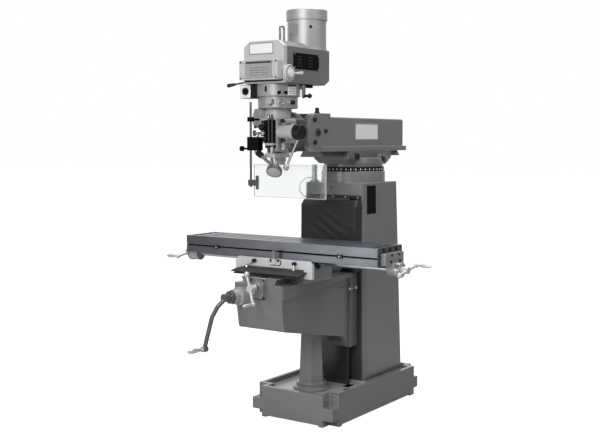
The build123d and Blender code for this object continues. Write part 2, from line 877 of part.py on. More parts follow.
with BuildPart() as belt_housing:
    with BuildSketch(at_z(housing_z)):
        housing_plan(0)
    extrude(amount=housing_height)
    chamfer(belt_housing.faces().sort_by(Axis.Y)[-1].edges().sort_by(Axis.Z)[-1], 22)
    with BuildSketch(at_x(-housing_half)):
        Polygon(
            (rear_y - heel_depth, housing_z), (rear_y + 1, housing_z), (rear_y + 1, housing_z + heel_height),
            (rear_y, housing_z + heel_height), align=None,
        )
    extrude(amount=2 * housing_half, mode=Mode.SUBTRACT)
    with BuildSketch(at_y(front_y)):
        Polygon(
            (-housing_half, housing_top), (housing_half, housing_top), (housing_half - hood_cut, hood_top),
            (-housing_half + hood_cut, hood_top), align=None,
        )
    extrude(amount=-hood_length)
    with BuildSketch(at_x(-housing_half)):
        Polygon(
            (front_y + hood_length, housing_top), (front_y + hood_length, hood_top + 1),
            (front_y + hood_length - hood_height, hood_top + 1),
            (front_y + hood_length - hood_height, hood_top), align=None,
        )
    extrude(amount=2 * housing_half, mode=Mode.SUBTRACT)
    with BuildSketch(at_z(housing_z + housing_wall)):
        with Locations((0, front_y)):
            Rectangle(
                2 * (housing_half - housing_wall), housing_front + housing_back - heel_depth - housing_wall,
                align=(Align.CENTER, Align.MIN),
            )
    extrude(amount=housing_height - 2 * housing_wall, mode=Mode.SUBTRACT)
    with BuildSketch(at_z(housing_z + heel_height + housing_wall)):
        housing_plan(housing_wall)
    extrude(amount=housing_height - heel_height - 2 * housing_wall, mode=Mode.SUBTRACT)
    with BuildSketch(at_z(housing_z)):
        with Locations((0, spindle_y)):
            Circle(spindle_top_r + 8)
    extrude(amount=hood_top - housing_z, mode=Mode.SUBTRACT)
    with BuildSketch(at_z(housing_top - housing_wall)):
        with Locations((0, motor_y)):
            Circle(spindle_top_r + 4)
    extrude(amount=housing_wall, mode=Mode.SUBTRACT)
save(belt_housing.part, "belt_housing")

# Front cover with cut upper corners, and the speed plate box on it
cover_y = front_y - cover_depth
with BuildPart() as front_cover:
    with BuildSketch(at_y(front_y)):
        Polygon(
            (-housing_half, housing_z), (housing_half, housing_z), (housing_half, housing_top),
            (housing_half - hood_cut, hood_top), (-housing_half + hood_cut, hood_top),
            (-housing_half, housing_top), align=None,
        )
    extrude(amount=cover_depth)
    with BuildSketch(at_y(front_y)):
        with Locations((0, housing_z + housing_height / 2)):
            Rectangle(2 * (housing_half - hood_cut), housing_height - 2 * hood_cut)
    extrude(amount=cover_depth - housing_wall, mode=Mode.SUBTRACT)
save(front_cover.part, "front_cover")

box_z = housing_z + plate_box_low
box_y = cover_y - plate_box_depth
box_rim = 18
with BuildPart() as speed_plate_box:
    with BuildSketch(at_y(cover_y)):
        with Locations((0, box_z + plate_box_h / 2)):
            RectangleRounded(2 * plate_box_half, plate_box_h, 8)
    extrude(amount=plate_box_depth - 8)
    with BuildSketch(at_y(box_y + 8)):
        with Locations((0, box_z + plate_box_h / 2)):
            RectangleRounded(2 * (plate_box_half - box_rim), plate_box_h - box_rim, 6)
    extrude(amount=8)
    with BuildSketch(at_y(cover_y)):
        with Locations((0, box_z + plate_box_h / 2)):
            Rectangle(2 * (plate_box_half - box_rim), plate_box_h - 2 * box_rim)
    extrude(amount=plate_box_depth - 2 * housing_wall, mode=Mode.SUBTRACT)
save(speed_plate_box.part, "speed_plate_box")

# Motor on the roof of the belt housing
motor_shaft_r = 14
motor_shaft_depth = 40
motor_foot = 12
with BuildPart() as motor_body:
    with BuildSketch(at_z(housing_top)):
        with Locations((0, motor_y)):
            Circle(motor_r)
    extrude(amount=motor_height)
    with BuildSketch(at_z(housing_top)):
        with Locations((0, motor_y)):
            Circle(motor_r + 4)
    extrude(amount=motor_foot)
    with BuildSketch(at_z(housing_top)):
        with Locations((0, motor_y)):
            Circle(motor_shaft_r + run_gap)
    extrude(amount=motor_shaft_depth, mode=Mode.SUBTRACT)
save(motor_body.part, "motor_body")

fan_cover_z = housing_top + motor_height
with BuildPart() as motor_fan_cover:
    with BuildSketch(at_z(fan_cover_z)):
        with Locations((0, motor_y)):
            Circle(fan_cover_r)
    extrude(amount=fan_cover_h)
    fillet(motor_fan_cover.faces().sort_by(Axis.Z)[-1].edges(), 7)
    with BuildSketch(at_z(fan_cover_z)):
        with Locations((0, motor_y)):
            Circle(fan_cover_r - 4)
    extrude(amount=fan_cover_h - 4, mode=Mode.SUBTRACT)
    with BuildSketch(at_z(fan_cover_z)):
        with Locations((0, motor_y)):
            Circle(fan_cover_r - 2)
            Circle(motor_r - 20, mode=Mode.SUBTRACT)
    extrude(amount=4)
save(motor_fan_cover.part, "motor_fan_cover")

# Belt drive: two pulleys and a flat belt
belt_z = housing_z + pulley_z - belt_height / 2


def pulley(axis_y, hub_drop):
    """Flanged pulley on a vertical axis, with a hub that reaches below it."""
    with BuildPart() as wheel:
        with BuildSketch(at_z(belt_z)):
            with Locations((0, axis_y)):
                Circle(pulley_r)
        extrude(amount=belt_height)
        with BuildSketch(at_z(belt_z - pulley_flange - run_gap), at_z(belt_z + belt_height + run_gap)):
            with Locations((0, axis_y)):
                Circle(pulley_r + pulley_flange)
        extrude(amount=pulley_flange)
        with BuildSketch(at_z(belt_z - hub_drop)):
            with Locations((0, axis_y)):
                Circle(spindle_top_r + 12)
        extrude(amount=hub_drop + belt_height + 14)
    return wheel.part


with BuildPart() as spindle_pulley:
    add(pulley(spindle_y, belt_z - housing_z - housing_wall - 3))
    with BuildSketch(at_z(housing_z)):
        with Locations((0, spindle_y)):
            Circle(spindle_top_r + run_gap)
    extrude(amount=housing_height, mode=Mode.SUBTRACT)
save(spindle_pulley.part, "spindle_pulley")

with BuildPart() as motor_pulley:
    add(pulley(motor_y, 10))
    rod(
        (0, motor_y, housing_z + pulley_z), (0, motor_y, housing_top + motor_shaft_depth - 1), motor_shaft_r
    )
save(motor_pulley.part, "motor_pulley")

with BuildPart() as drive_belt:
    with BuildSketch(at_z(belt_z)):
        with Locations((0, (spindle_y + motor_y) / 2)):
            SlotCenterToCenter(motor_spacing, 2 * (pulley_r + run_gap + belt_thickness), rotation=90)
            SlotCenterToCenter(motor_spacing, 2 * (pulley_r + run_gap), rotation=90, mode=Mode.SUBTRACT)
    extrude(amount=belt_height)
save(drive_belt.part, "drive_belt")

# Lifting hoop on the housing roof, beside the motor
with BuildPart() as lifting_hoop:
    hoop_at = spindle_y + hoop_y
    with BuildSketch(at_x(hoop_x - hoop_bar / 2)):
        with Locations((hoop_at, hood_top)):
            RectangleRounded(hoop_width, 2 * hoop_height, 14)
            RectangleRounded(hoop_width - 2 * hoop_bar, 2 * (hoop_height - hoop_bar), 6, mode=Mode.SUBTRACT)
            Rectangle(hoop_width, hoop_height, align=(Align.CENTER, Align.MAX), mode=Mode.SUBTRACT)
    extrude(amount=hoop_bar)
    block(
        (hoop_x - 12, hoop_at - hoop_width / 2 - 8, hood_top),
        (hoop_x + 12, hoop_at - hoop_width / 2 + hoop_bar, hood_top + 6),
    )
    block(
        (hoop_x - 12, hoop_at + hoop_width / 2 - hoop_bar, hood_top),
        (hoop_x + 12, hoop_at + hoop_width / 2 + 8, hood_top + 6),
    )
save(lifting_hoop.part, "lifting_hoop")

# Switch box on the left of the gear case, with its rotary knob
switch_left = -172
switch_right = -60
switch_front = spindle_y - 105
switch_back = spindle_y - 16
switch_z = upper_case_z - 8
switch_top = housing_z - 2
knob_x = switch_left + 38
knob_z = (switch_z + switch_top) / 2
with BuildPart() as switch_box:
    block((switch_left, switch_front, switch_z), (switch_right, switch_back, switch_top))
    fillet(switch_box.edges().filter_by(Axis.Y), 4)
    with BuildSketch(at_z(switch_z)):
        with Locations((0, spindle_y)):
            Circle(gear_case_r + 2)
    extrude(amount=switch_top - switch_z, mode=Mode.SUBTRACT)
save(switch_box.part, "switch_box")

with BuildPart() as switch_knob:
    rod((knob_x, switch_front - run_gap, knob_z), (knob_x, switch_front - 10, knob_z), 19)
    with BuildSketch(at_y(switch_front - 10)):
        with Locations((knob_x, knob_z)):
            SlotOverall(33, 13, rotation=90)
    extrude(amount=14)
save(switch_knob.part, "switch_knob")

# Quill sleeve with its rack, collar with the depth stop rods, stop nut
step_z = nod_z + 22
rack_low = nod_z - 12
rack_teeth = int(quill_travel / (pi * quill_module)) + 6
with BuildPart() as quill_sleeve:
    with BuildSketch(at_z(quill_z)):
        with Locations((0, spindle_y)):
            Circle(quill_r)
    extrude(amount=quill_top - quill_z)
    with BuildSketch(at_z(quill_z)):
        with Locations((0, spindle_y)):
            Circle(spindle_r + run_gap)
    extrude(amount=step_z - quill_z + run_gap, mode=Mode.SUBTRACT)
    with BuildSketch(at_z(quill_z)):
        with Locations((0, spindle_y)):
            Circle(spindle_top_r + run_gap)
    extrude(amount=quill_top - quill_z, mode=Mode.SUBTRACT)
    block(
        (-quill_r, spindle_y - quill_r - 1, rack_low - 8), (quill_r, spindle_y - rack_flat, quill_top),
        mode=Mode.SUBTRACT,
    )
    with BuildSketch(at_x(-quill_pinion_width / 2 - 2)):
        with Locations(*[
            Location((spindle_y - rack_flat, nod_z + (k - 2) * pi * quill_module), -90)
            for k in range(rack_teeth)
        ]):
            rack_gap(quill_module)
    extrude(amount=quill_pinion_width + 4, mode=Mode.SUBTRACT)
save(quill_sleeve.part, "quill_sleeve")

collar_r = 62
collar_z = quill_z + 23
collar_h = 22
stop_top = nod_z + 92
stop_arm = 64
with BuildPart() as quill_collar:
    with BuildSketch(at_z(collar_z)):
        with Locations((0, spindle_y)):
            Circle(collar_r)
        with Locations(((stop_xs[0] + stop_xs[1]) / 2, stop_y - stop_r)):
            Rectangle(stop_arm, spindle_y - stop_y, align=(Align.CENTER, Align.MIN))
        with Locations((0, spindle_y)):
            Circle(quill_r + press_gap, mode=Mode.SUBTRACT)
    extrude(amount=collar_h)
    for stop_x in stop_xs:
        rod((stop_x, stop_y, collar_z + collar_h - 1), (stop_x, stop_y, stop_top), stop_r)
save(quill_collar.part, "quill_collar")

stop_nut_r = 12
stop_nut_h = 14
stop_nut_z = nod_z + 72
with BuildPart() as depth_stop_nut:
    rod((stop_xs[0], stop_y, stop_nut_z), (stop_xs[0], stop_y, stop_nut_z + stop_nut_h), stop_nut_r - 2.5)
    rod(
        (stop_xs[0], stop_y, stop_nut_z), (stop_xs[0], stop_y, stop_nut_z + stop_nut_h), stop_r + run_gap,
        mode=Mode.SUBTRACT,
    )
save(depth_stop_nut.part, "depth_stop_nut")

# Spindle with its collet bore, and the drawbar through it
nose_z = quill_z - run_gap - nose_h
spindle_top = housing_top - 2
mouth_depth = (bore_mouth_r - bore_r) / tan(radians(8.425))
with BuildPart() as spindle:
    rod((0, spindle_y, nose_z), (0, spindle_y, quill_z - run_gap), nose_r)
    rod((0, spindle_y, nose_z), (0, spindle_y, step_z), spindle_r)
    rod((0, spindle_y, step_z - 1), (0, spindle_y, spindle_top), spindle_top_r)
    rod((0, spindle_y, nose_z), (0, spindle_y, nose_z + bore_length), bore_r, mode=Mode.SUBTRACT)
    with Locations((0, spindle_y, nose_z)):
        Cone(
            bore_mouth_r, bore_r, mouth_depth, align=(Align.CENTER, Align.CENTER, Align.MIN),
            mode=Mode.SUBTRACT,
        )
    rod((0, spindle_y, nose_z), (0, spindle_y, spindle_top), drawbar_r + run_gap, mode=Mode.SUBTRACT)
save(spindle.part, "spindle")

with BuildPart() as drawbar:
    rod((0, spindle_y, nose_z + bore_length + 2), (0, spindle_y, spindle_top + 1), drawbar_r)
    with BuildSketch(at_z(spindle_top)):
        with Locations((0, spindle_y)):
            RegularPolygon(drawbar_head_r, 6)
    extrude(amount=drawbar_head_h)
save(drawbar.part, "drawbar")

# Quill feed lever on its pinion shaft
lever_drop = 181
lever_forward = 160
lever_x = pinion_x + 20
lever_cap_r = 39
with BuildPart() as quill_feed_lever:
    with BuildSketch(at_x(-quill_pinion_width / 2)):
        with Locations((pinion_y, nod_z)):
            gear(quill_module, quill_pinion_teeth, 0)
    extrude(amount=quill_pinion_width)
    rod((-39, pinion_y, nod_z), (pinion_x, pinion_y, nod_z), feed_shaft_r)
    rod((pinion_x - 16 + run_gap, pinion_y, nod_z), (pinion_x + 28, pinion_y, nod_z), lever_cap_r)
    fillet(quill_feed_lever.faces().sort_by(Axis.X)[-1].edges(), 6)
    rod(
        (lever_x - 4, pinion_y, nod_z), (lever_x + 16, pinion_y - lever_forward, nod_z - lever_drop), 6.5
    )
    with Locations((lever_x + 16, pinion_y - lever_forward, nod_z - lever_drop)):
        Sphere(16)
save(quill_feed_lever.part, "quill_feed_lever")

# Speed dial with its small crank handle, on the right side of the housing
dial_r = 45
dial_y = spindle_y - 91
dial_z = housing_z + 50
dial_face_x = housing_half + 16
dial_hub_x = dial_face_x + 6
dial_pin_y = dial_y + 31
dial_pin_r = 5
dial_grip_r = 8.5
dial_grip = 48
with BuildPart() as speed_dial:
    rod((housing_half + run_gap, dial_y, dial_z), (dial_face_x, dial_y, dial_z), dial_r)
    fillet(speed_dial.faces().sort_by(Axis.X)[-1].edges(), 5)
    rod((dial_face_x - 2, dial_y, dial_z), (dial_hub_x, dial_y, dial_z), dial_r - 20)
    rod((dial_face_x - 2, dial_pin_y, dial_z), (dial_hub_x + 4, dial_pin_y, dial_z), dial_pin_r)
    with Locations(Plane(origin=(dial_hub_x + 3, dial_pin_y, dial_z), z_dir=(1, 0, 0))):
        Cone(dial_pin_r + 0.5, dial_grip_r, dial_grip, align=(Align.CENTER, Align.CENTER, Align.MIN))
save(speed_dial.part, "speed_dial")

# Brake lever on the left side of the housing
brake_hub_r = 11
brake_x = -housing_half - brake_hub_r - run_gap
brake_y = spindle_y - 43
brake_z = housing_z + 20
brake_reach = 160
brake_drop = 20
brake_grip = 44
brake_hub_half = 12
brake_rod_r = 4.5
brake_ball_r = 11
with BuildPart() as brake_lever:
    rod(
        (brake_x, brake_y, brake_z - brake_hub_half), (brake_x, brake_y, brake_z + brake_hub_half),
        brake_hub_r,
    )
    slope = brake_drop / brake_reach
    rod((brake_x, brake_y, brake_z), (brake_x - brake_reach, brake_y, brake_z - brake_drop), brake_rod_r)
    with Locations(
        Plane(origin=(brake_x - brake_reach, brake_y, brake_z - brake_drop), z_dir=(1, 0, slope))
    ):
        Cone(brake_ball_r, brake_ball_r - 4, brake_grip, align=(Align.CENTER, Align.CENTER, Align.MIN))
        Sphere(brake_ball_r)
save(brake_lever.part, "brake_lever")

# Range lever on the right of the gear case
range_x = 115
range_y = spindle_y + 48
range_z = housing_z - 18
range_arm = 46
range_arm_x = range_x + 15
range_arm_t = 9
range_hub_r = 11
range_pin = 37
range_ball_r = 13
with BuildPart() as range_lever:
    rod((range_x, range_y, range_z), (range_arm_x + 1, range_y, range_z), range_hub_r)
    with BuildSketch(at_x(range_arm_x)):
        with Locations((range_y, range_z - range_arm / 2)):
            SlotCenterToCenter(range_arm, 2 * range_hub_r + 2, rotation=90)
    extrude(amount=range_arm_t)
    pin_x = range_arm_x + range_arm_t - 1
    rod((pin_x, range_y, range_z - range_arm), (pin_x + range_pin, range_y, range_z - range_arm), 7)
    with Locations((pin_x + range_pin - 2, range_y, range_z - range_arm)):
        Sphere(range_ball_r)
save(range_lever.part, "range_lever")

# Chip guard: clamp pieces on the head, sliding bar and clear shield
shield_y = spindle_y - 131
shield_thickness = 5
shield_left = -62
shield_right = 396
shield_low = nod_z - 342
shield_high = nod_z - 170
guard_x = -84
guard_r = 6
guard_low = nod_z - 292
guard_high = nod_z + 160
lamp_root = (-39, shield_y + 2, head_z + 1)
clamp_half = 14
clamp_right = -26
clamp_z = head_z + 12
clamp_height = 72
clamp_back = spindle_y - head_front
clamp_arm = 24           # short arm from the clamp to the barrel
eye_half = 13
eye_z = nod_z + 56
eye_height = 24
thumb_z = clamp_z + 10
thumb_x = guard_x - 52
thumb_r = 14
with BuildPart() as guard_clamp:
    block(
        (guard_x - clamp_half, shield_y - clamp_half, clamp_z),
        (clamp_right, clamp_back, clamp_z + clamp_height),
    )
    block(
        (clamp_right - clamp_arm, clamp_back - 1, clamp_z + clamp_height - clamp_arm),
        (clamp_right, spindle_y - head_foot_r / 2, clamp_z + clamp_height),
    )
    with BuildSketch(at_z(clamp_z)):
        with Locations((0, spindle_y)):
            Circle(head_foot_r)
    extrude(amount=clamp_height, mode=Mode.SUBTRACT)
    rod((guard_x, ear_front, eye_z + eye_height / 2), (guard_x, shield_y, eye_z + eye_height / 2), 6)
    block(
        (guard_x - eye_half, shield_y - eye_half, eye_z),
        (guard_x + eye_half, shield_y + eye_half, eye_z + eye_height),
    )
    rod(
        (guard_x, shield_y, clamp_z), (guard_x, shield_y, eye_z + eye_height), guard_r + run_gap,
        mode=Mode.SUBTRACT,
    )
    rod((guard_x - clamp_half, shield_y, thumb_z), (thumb_x, shield_y, thumb_z), 5)
    rod((thumb_x, shield_y, thumb_z), (thumb_x - thumb_r, shield_y, thumb_z), thumb_r)
save(guard_clamp.part, "guard_clamp")

shoe_half = 10
shoe_z = guard_low + 8
shoe_height = 32
strip_width = 14
strip_length = 74

with BuildPart() as guard_bar:
    rod((guard_x, shield_y, guard_low), (guard_x, shield_y, guard_high), guard_r)
    block(
        (guard_x - shoe_half, shield_y - shoe_half - 2, shoe_z),
        (shield_left + 12, shield_y - shield_thickness / 2, shoe_z + shoe_height),
    )
    block(
        (guard_x - shoe_half, shield_y - shield_thickness / 2, shoe_z),
        (guard_x + shoe_half, shield_y + shoe_half, shoe_z + shoe_height),
    )
    with BuildSketch(at_y(shield_y - shield_thickness / 2)):
        with Locations((shield_left + 26, shoe_z + 18)):
            RectangleRounded(strip_width, strip_length, 5)
    extrude(amount=shoe_half)
save(guard_bar.part, "guard_bar")

with BuildPart() as guard_shield:
    with BuildSketch(at_y(shield_y + shield_thickness / 2)):
        with Locations(((shield_left + shield_right) / 2, (shield_low + shield_high) / 2)):
            RectangleRounded(shield_right - shield_left, shield_high - shield_low, 6)
    extrude(amount=shield_thickness)
save(guard_shield.part, "guard_shield")

# Work lamp: bent arm under the guard clamp, tilting head
lamp_x = 110
lamp_ahead = 177
lamp_drop = 178
lamp_tip = (lamp_x, spindle_y - lamp_ahead, nod_z - lamp_drop)
lamp_face = Vector(0.25, -0.62, -0.74).normalized()
lamp_block_half = 13
with BuildPart() as lamp_arm:
    block(
        (lamp_root[0] - lamp_block_half, lamp_root[1] - 12, head_z - 6),
        (lamp_root[0] + lamp_block_half, lamp_root[1] + 14, clamp_z),
    )
    rod(lamp_root, (lamp_tip[0] - 13, lamp_tip[1], lamp_tip[2]), 9)
    rod((lamp_tip[0] - 22, lamp_tip[1], lamp_tip[2]), (lamp_tip[0] - run_gap, lamp_tip[1], lamp_tip[2]), 12)
save(lamp_arm.part, "lamp_arm")

lamp_r = 41
lamp_depth = 24
lamp_neck = 16
with BuildPart() as lamp_head:
    with BuildSketch(Plane(origin=Vector(*lamp_tip) + lamp_face * lamp_neck, z_dir=lamp_face)):
        Circle(lamp_r)
    extrude(amount=lamp_depth)
    fillet(lamp_head.edges().filter_by(GeomType.CIRCLE).sort_by(Axis.Z)[-1], 6)
    rod(lamp_tip, (lamp_tip[0] + 16, lamp_tip[1], lamp_tip[2]), 12)
    hub = Vector(lamp_tip[0] + 8, lamp_tip[1], lamp_tip[2])
    rod(hub, hub + lamp_face * (lamp_neck + 6), 7)
save(lamp_head.part, "lamp_head")

# Knee casting: deep box on the column's dovetail, rails on top, screw trough between them
knee_back = column_front - run_gap
jaw_front = knee_back - knee_jaw_depth
trough_z = cross_screw_z - cross_screw_r - trough_floor_gap
ceiling_z = trough_z - trough_floor
web_drop = 67
web_half = 46
web_z = lift_z - web_drop
web_h = 22
slot_root = way_root + run_gap
slot_tip = way_tip + run_gap
with BuildPart() as knee_casting:
    with BuildSketch(at_x(-knee_half)):
        Polygon(
            (knee_front, knee_top), (knee_front, knee_nose_z), (knee_toe_y, knee_toe_z),
            (knee_heel_y, knee_heel_z), (jaw_front, knee_jaw_z), (knee_back, knee_jaw_z),
            (knee_back, knee_top), align=None,
        )
    extrude(amount=2 * knee_half)
    fillet(knee_casting.edges().filter_by(Axis.X).group_by(Axis.Z)[2], 22)
    with BuildSketch(at_x(-knee_flange_half)):
        Polygon(
            (knee_front, knee_top), (knee_front, knee_top - knee_flange_front),
            (jaw_front, knee_top - knee_flange_rear), (jaw_front, knee_jaw_z), (knee_back, knee_jaw_z),
            (knee_back, knee_top), align=None,
        )
    extrude(amount=2 * knee_flange_half)
    with BuildSketch(at_x(-knee_half + knee_wall)):
        Polygon(
            (knee_front + knee_wall, ceiling_z), (knee_front + knee_wall, knee_nose_z),
            (knee_toe_y + knee_wall, knee_jaw_z), (jaw_front - knee_wall, knee_jaw_z),
            (jaw_front - knee_wall, ceiling_z), align=None,
        )
    extrude(amount=2 * (knee_half - knee_wall), mode=Mode.SUBTRACT)
    block(
        (-knee_half + 1, screw_y - web_half, web_z), (knee_half - 1, screw_y + web_half, web_z + web_h)
    )
    with BuildSketch(at_y(knee_front)):
        Polygon(
            (-rail_root, knee_top - 1), (-rail_root, knee_top), (-rail_tip, knee_top + rail_h),
            (rail_tip, knee_top + rail_h), (rail_root, knee_top), (rail_root, knee_top - 1), align=None,
        )
    extrude(amount=knee_front - rail_back)
    block(
        (-cross_trough_half, knee_front, trough_z), (cross_trough_half, rail_back, knee_top + rail_h),
        mode=Mode.SUBTRACT,
    )
    with BuildSketch(at_z(knee_jaw_z)):
        Polygon(
            (-slot_root - gib_thickness, knee_back),
            (-slot_tip - gib_thickness, column_front - way_depth - run_gap),
            (slot_tip, column_front - way_depth - run_gap), (slot_root, knee_back), align=None,
        )
    extrude(amount=knee_top - knee_jaw_z, mode=Mode.SUBTRACT)
    rod((0, screw_y, web_z), (0, screw_y, web_z + web_h), lift_screw_r + run_gap, mode=Mode.SUBTRACT)


def lift_point(distance):
    """Point on the elevating shaft, measured from the screw axis."""
    return (-lift_x * distance, screw_y - lift_y * distance, lift_z)


lift_front = (screw_y - knee_front) / lift_y
lift_bracket = 62
lift_bore = 60            # reach of the bore on each side of the knee's front
lift_bracket_end = lift_front + lift_bracket
with BuildPart() as knee_bored:
    add(knee_casting.part)
    rod(
        lift_point(lift_front - lift_bore), lift_point(lift_front + lift_bore), lift_shaft_r + 6,
        mode=Mode.SUBTRACT,
    )
save(knee_bored.part, "knee_casting")

with BuildPart() as knee_gib:
    flank = (way_tip - way_root) / way_depth
    near_y = knee_back - 1
    far_y = column_front - way_depth
    near_x = -way_root - (column_front - near_y) * flank - run_gap
    far_x = -way_tip - run_gap
    with BuildSketch(at_z(knee_jaw_z + 8)):
        Polygon(
            (near_x, near_y), (far_x, far_y), (far_x - gib_thickness + run_gap, far_y),
            (near_x - gib_thickness + run_gap, near_y), align=None,
        )
    extrude(amount=knee_top - knee_jaw_z - 16)
save(knee_gib.part, "knee_gib")

# Bearing brackets on the knee's front: cross feed flange and elevating shaft boss
flange_half = 43
flange_low = 54
flange_high = 51
flange_t = 15
cross_bearing_end = knee_front - flange_t - 17
lift_boss_r = 46
with BuildPart() as knee_bearings:
    with BuildSketch(at_y(knee_front)):
        with Locations((0, cross_screw_z + (flange_high - flange_low) / 2)):
            RectangleRounded(2 * flange_half, flange_low + flange_high, 6)
    extrude(amount=flange_t)
    rod((0, knee_front - flange_t, cross_screw_z), (0, cross_bearing_end, cross_screw_z), 31)
    rod(
        (0, knee_front, cross_screw_z), (0, cross_bearing_end, cross_screw_z), cross_screw_r + run_gap,
        mode=Mode.SUBTRACT,
    )
    rod(lift_point(lift_front - 30), lift_point(lift_front + 26), lift_boss_r + 4)
    rod(lift_point(lift_front - 30), lift_point(lift_bracket_end), lift_boss_r - 6)
    block(
        (-2 * knee_half, knee_front, lift_z - 2 * lift_boss_r),
        (-flange_half - 1, screw_y, lift_z + 2 * lift_boss_r), mode=Mode.SUBTRACT,
    )
    rod(
        lift_point(lift_front - lift_bore), lift_point(lift_bracket_end), lift_shaft_r + run_gap,
        mode=Mode.SUBTRACT,
    )
save(knee_bearings.part, "knee_bearings")

lock_drop = 87
lock_z = knee_top - lock_drop
lock_y = jaw_front + 34
lock_length = 88
lock_plane = Plane((knee_flange_half + run_gap, lock_y, lock_z), x_dir=(0, -1, 0.04), z_dir=(1, 0, 0))
save(lock_lever(lock_plane, lock_length, 8), "knee_lock_lever")

# Elevating drive: shaft with bevel pinion, screw with bevel gear, cranked handle
bevel_gap = 1
lift_hub = 62
lift_hub_end = lift_bracket_end + lift_hub
with BuildPart() as elevating_shaft:
    pinion_plane = Plane(origin=lift_point(bevel_gear_r + bevel_gap), z_dir=(lift_x, lift_y, 0))
    with Locations(pinion_plane):
        Cone(
            bevel_pinion_r, bevel_pinion_r * (1 - bevel_face / bevel_gear_r), bevel_face,
            align=(Align.CENTER, Align.CENTER, Align.MIN),
        )
    rod(lift_point(bevel_gear_r), lift_point(bevel_gear_r + 14), bevel_pinion_r)
    rod(lift_point(bevel_gear_r + 10), lift_point(lift_hub_end - end_wall - 1), lift_shaft_r)
save(elevating_shaft.part, "elevating_shaft")

with BuildPart() as elevating_screw:
    gear_z = lift_z - bevel_pinion_r - bevel_gap
    cone_h = bevel_pinion_r * bevel_face / bevel_gear_r
    with Locations((0, screw_y, gear_z)):
        Cone(
            bevel_gear_r, bevel_gear_r * (1 - bevel_face / bevel_gear_r), cone_h,
            align=(Align.CENTER, Align.CENTER, Align.MIN),
        )
    rod((0, screw_y, web_z + web_h + run_gap), (0, screw_y, gear_z + 1), bevel_gear_r)
    rod((0, screw_y, lift_z - lift_screw_drop), (0, screw_y, gear_z), lift_screw_r)
save(elevating_screw.part, "elevating_screw")

crank_reach = 304
crank_lean = 21
crank_offset = 58
crank_grip = 118
crank_plane = Plane(
    origin=lift_point(lift_bracket_end + run_gap), z_dir=(-lift_x, -lift_y, 0),
    x_dir=(-lift_y * sin(radians(crank_lean)), lift_x * sin(radians(crank_lean)), -cos(radians(crank_lean))),
)
crank_hub_r = 22
crank_dial_r = 34
crank_arm_r = 12
hub_sink = 14
crank_knee = (46, 110)    # where the arm has left the hub, and where it runs level
crank_eye_r = 16
grip_root = 10
grip_neck_r = 8
grip_r = 14
grip_swell = 80           # height of the grip's thickest place
with BuildPart() as elevating_crank:
    hub_length = lift_hub_end - lift_bracket_end
    arm_z = hub_length + crank_offset - hub_sink
    Cylinder(crank_dial_r, crank_hub_r, align=(Align.CENTER, Align.CENTER, Align.MIN))
    Cylinder(crank_hub_r, hub_length, align=(Align.CENTER, Align.CENTER, Align.MIN))
    with BuildLine(Plane.XZ) as arm_path:
        FilletPolyline(
            (10, hub_length - hub_sink), (crank_knee[0], arm_z - crank_hub_r), (crank_knee[1], arm_z),
            (crank_reach, arm_z), radius=40,
        )
    with BuildSketch(Plane(origin=arm_path.line @ 0, z_dir=arm_path.line % 0)):
        Circle(crank_arm_r)
    sweep(path=arm_path.line)
    with Locations((crank_reach, 0, arm_z)):
        Cylinder(crank_eye_r, crank_dial_r)
    with BuildSketch(Plane.XZ):
        with BuildLine():
            Polyline(
                (crank_reach, arm_z + crank_grip), (crank_reach, arm_z + grip_root),
                (crank_reach + grip_neck_r, arm_z + grip_root),
            )
            Spline(
                (crank_reach + grip_neck_r, arm_z + grip_root),
                (crank_reach + grip_neck_r + 1, arm_z + 3 * grip_root),
                (crank_reach + grip_r, arm_z + grip_swell), (crank_reach, arm_z + crank_grip),
            )
        make_face()
    revolve(axis=Axis((crank_reach, 0, 0), (0, 0, 1)))
    Cylinder(
        lift_shaft_r + press_gap, hub_length - end_wall, align=(Align.CENTER, Align.CENTER, Align.MIN),
        mode=Mode.SUBTRACT,
    )
save(elevating_crank.part.moved(crank_plane.location), "elevating_crank")

# Cross feed screw with its dial, and its ball crank
cross_dial_r = 30
cross_dial_h = 24
cross_dial_y = cross_bearing_end - run_gap
cross_hub = 30
cross_hub_r = 19
cross_arms = (78, 82)     # lengths of the crank's two arms
with BuildPart() as cross_feed_screw:
    rod(
        (0, rail_back - 20, cross_screw_z),
        (0, cross_dial_y - cross_dial_h - cross_hub + end_wall + 1, cross_screw_z), cross_screw_r,
    )
    rod((0, cross_dial_y, cross_screw_z), (0, cross_dial_y - cross_dial_h, cross_screw_z), cross_dial_r)
save(cross_feed_screw.part, "cross_feed_screw")
save(
    ball_crank(
        Plane((0, cross_dial_y - cross_dial_h, cross_screw_z), x_dir=(0.3, 0, -0.95), z_dir=(0, -1, 0)),
        cross_hub_r, cross_hub, cross_screw_r, *cross_arms, 6,
    ),
    "cross_feed_crank",
)

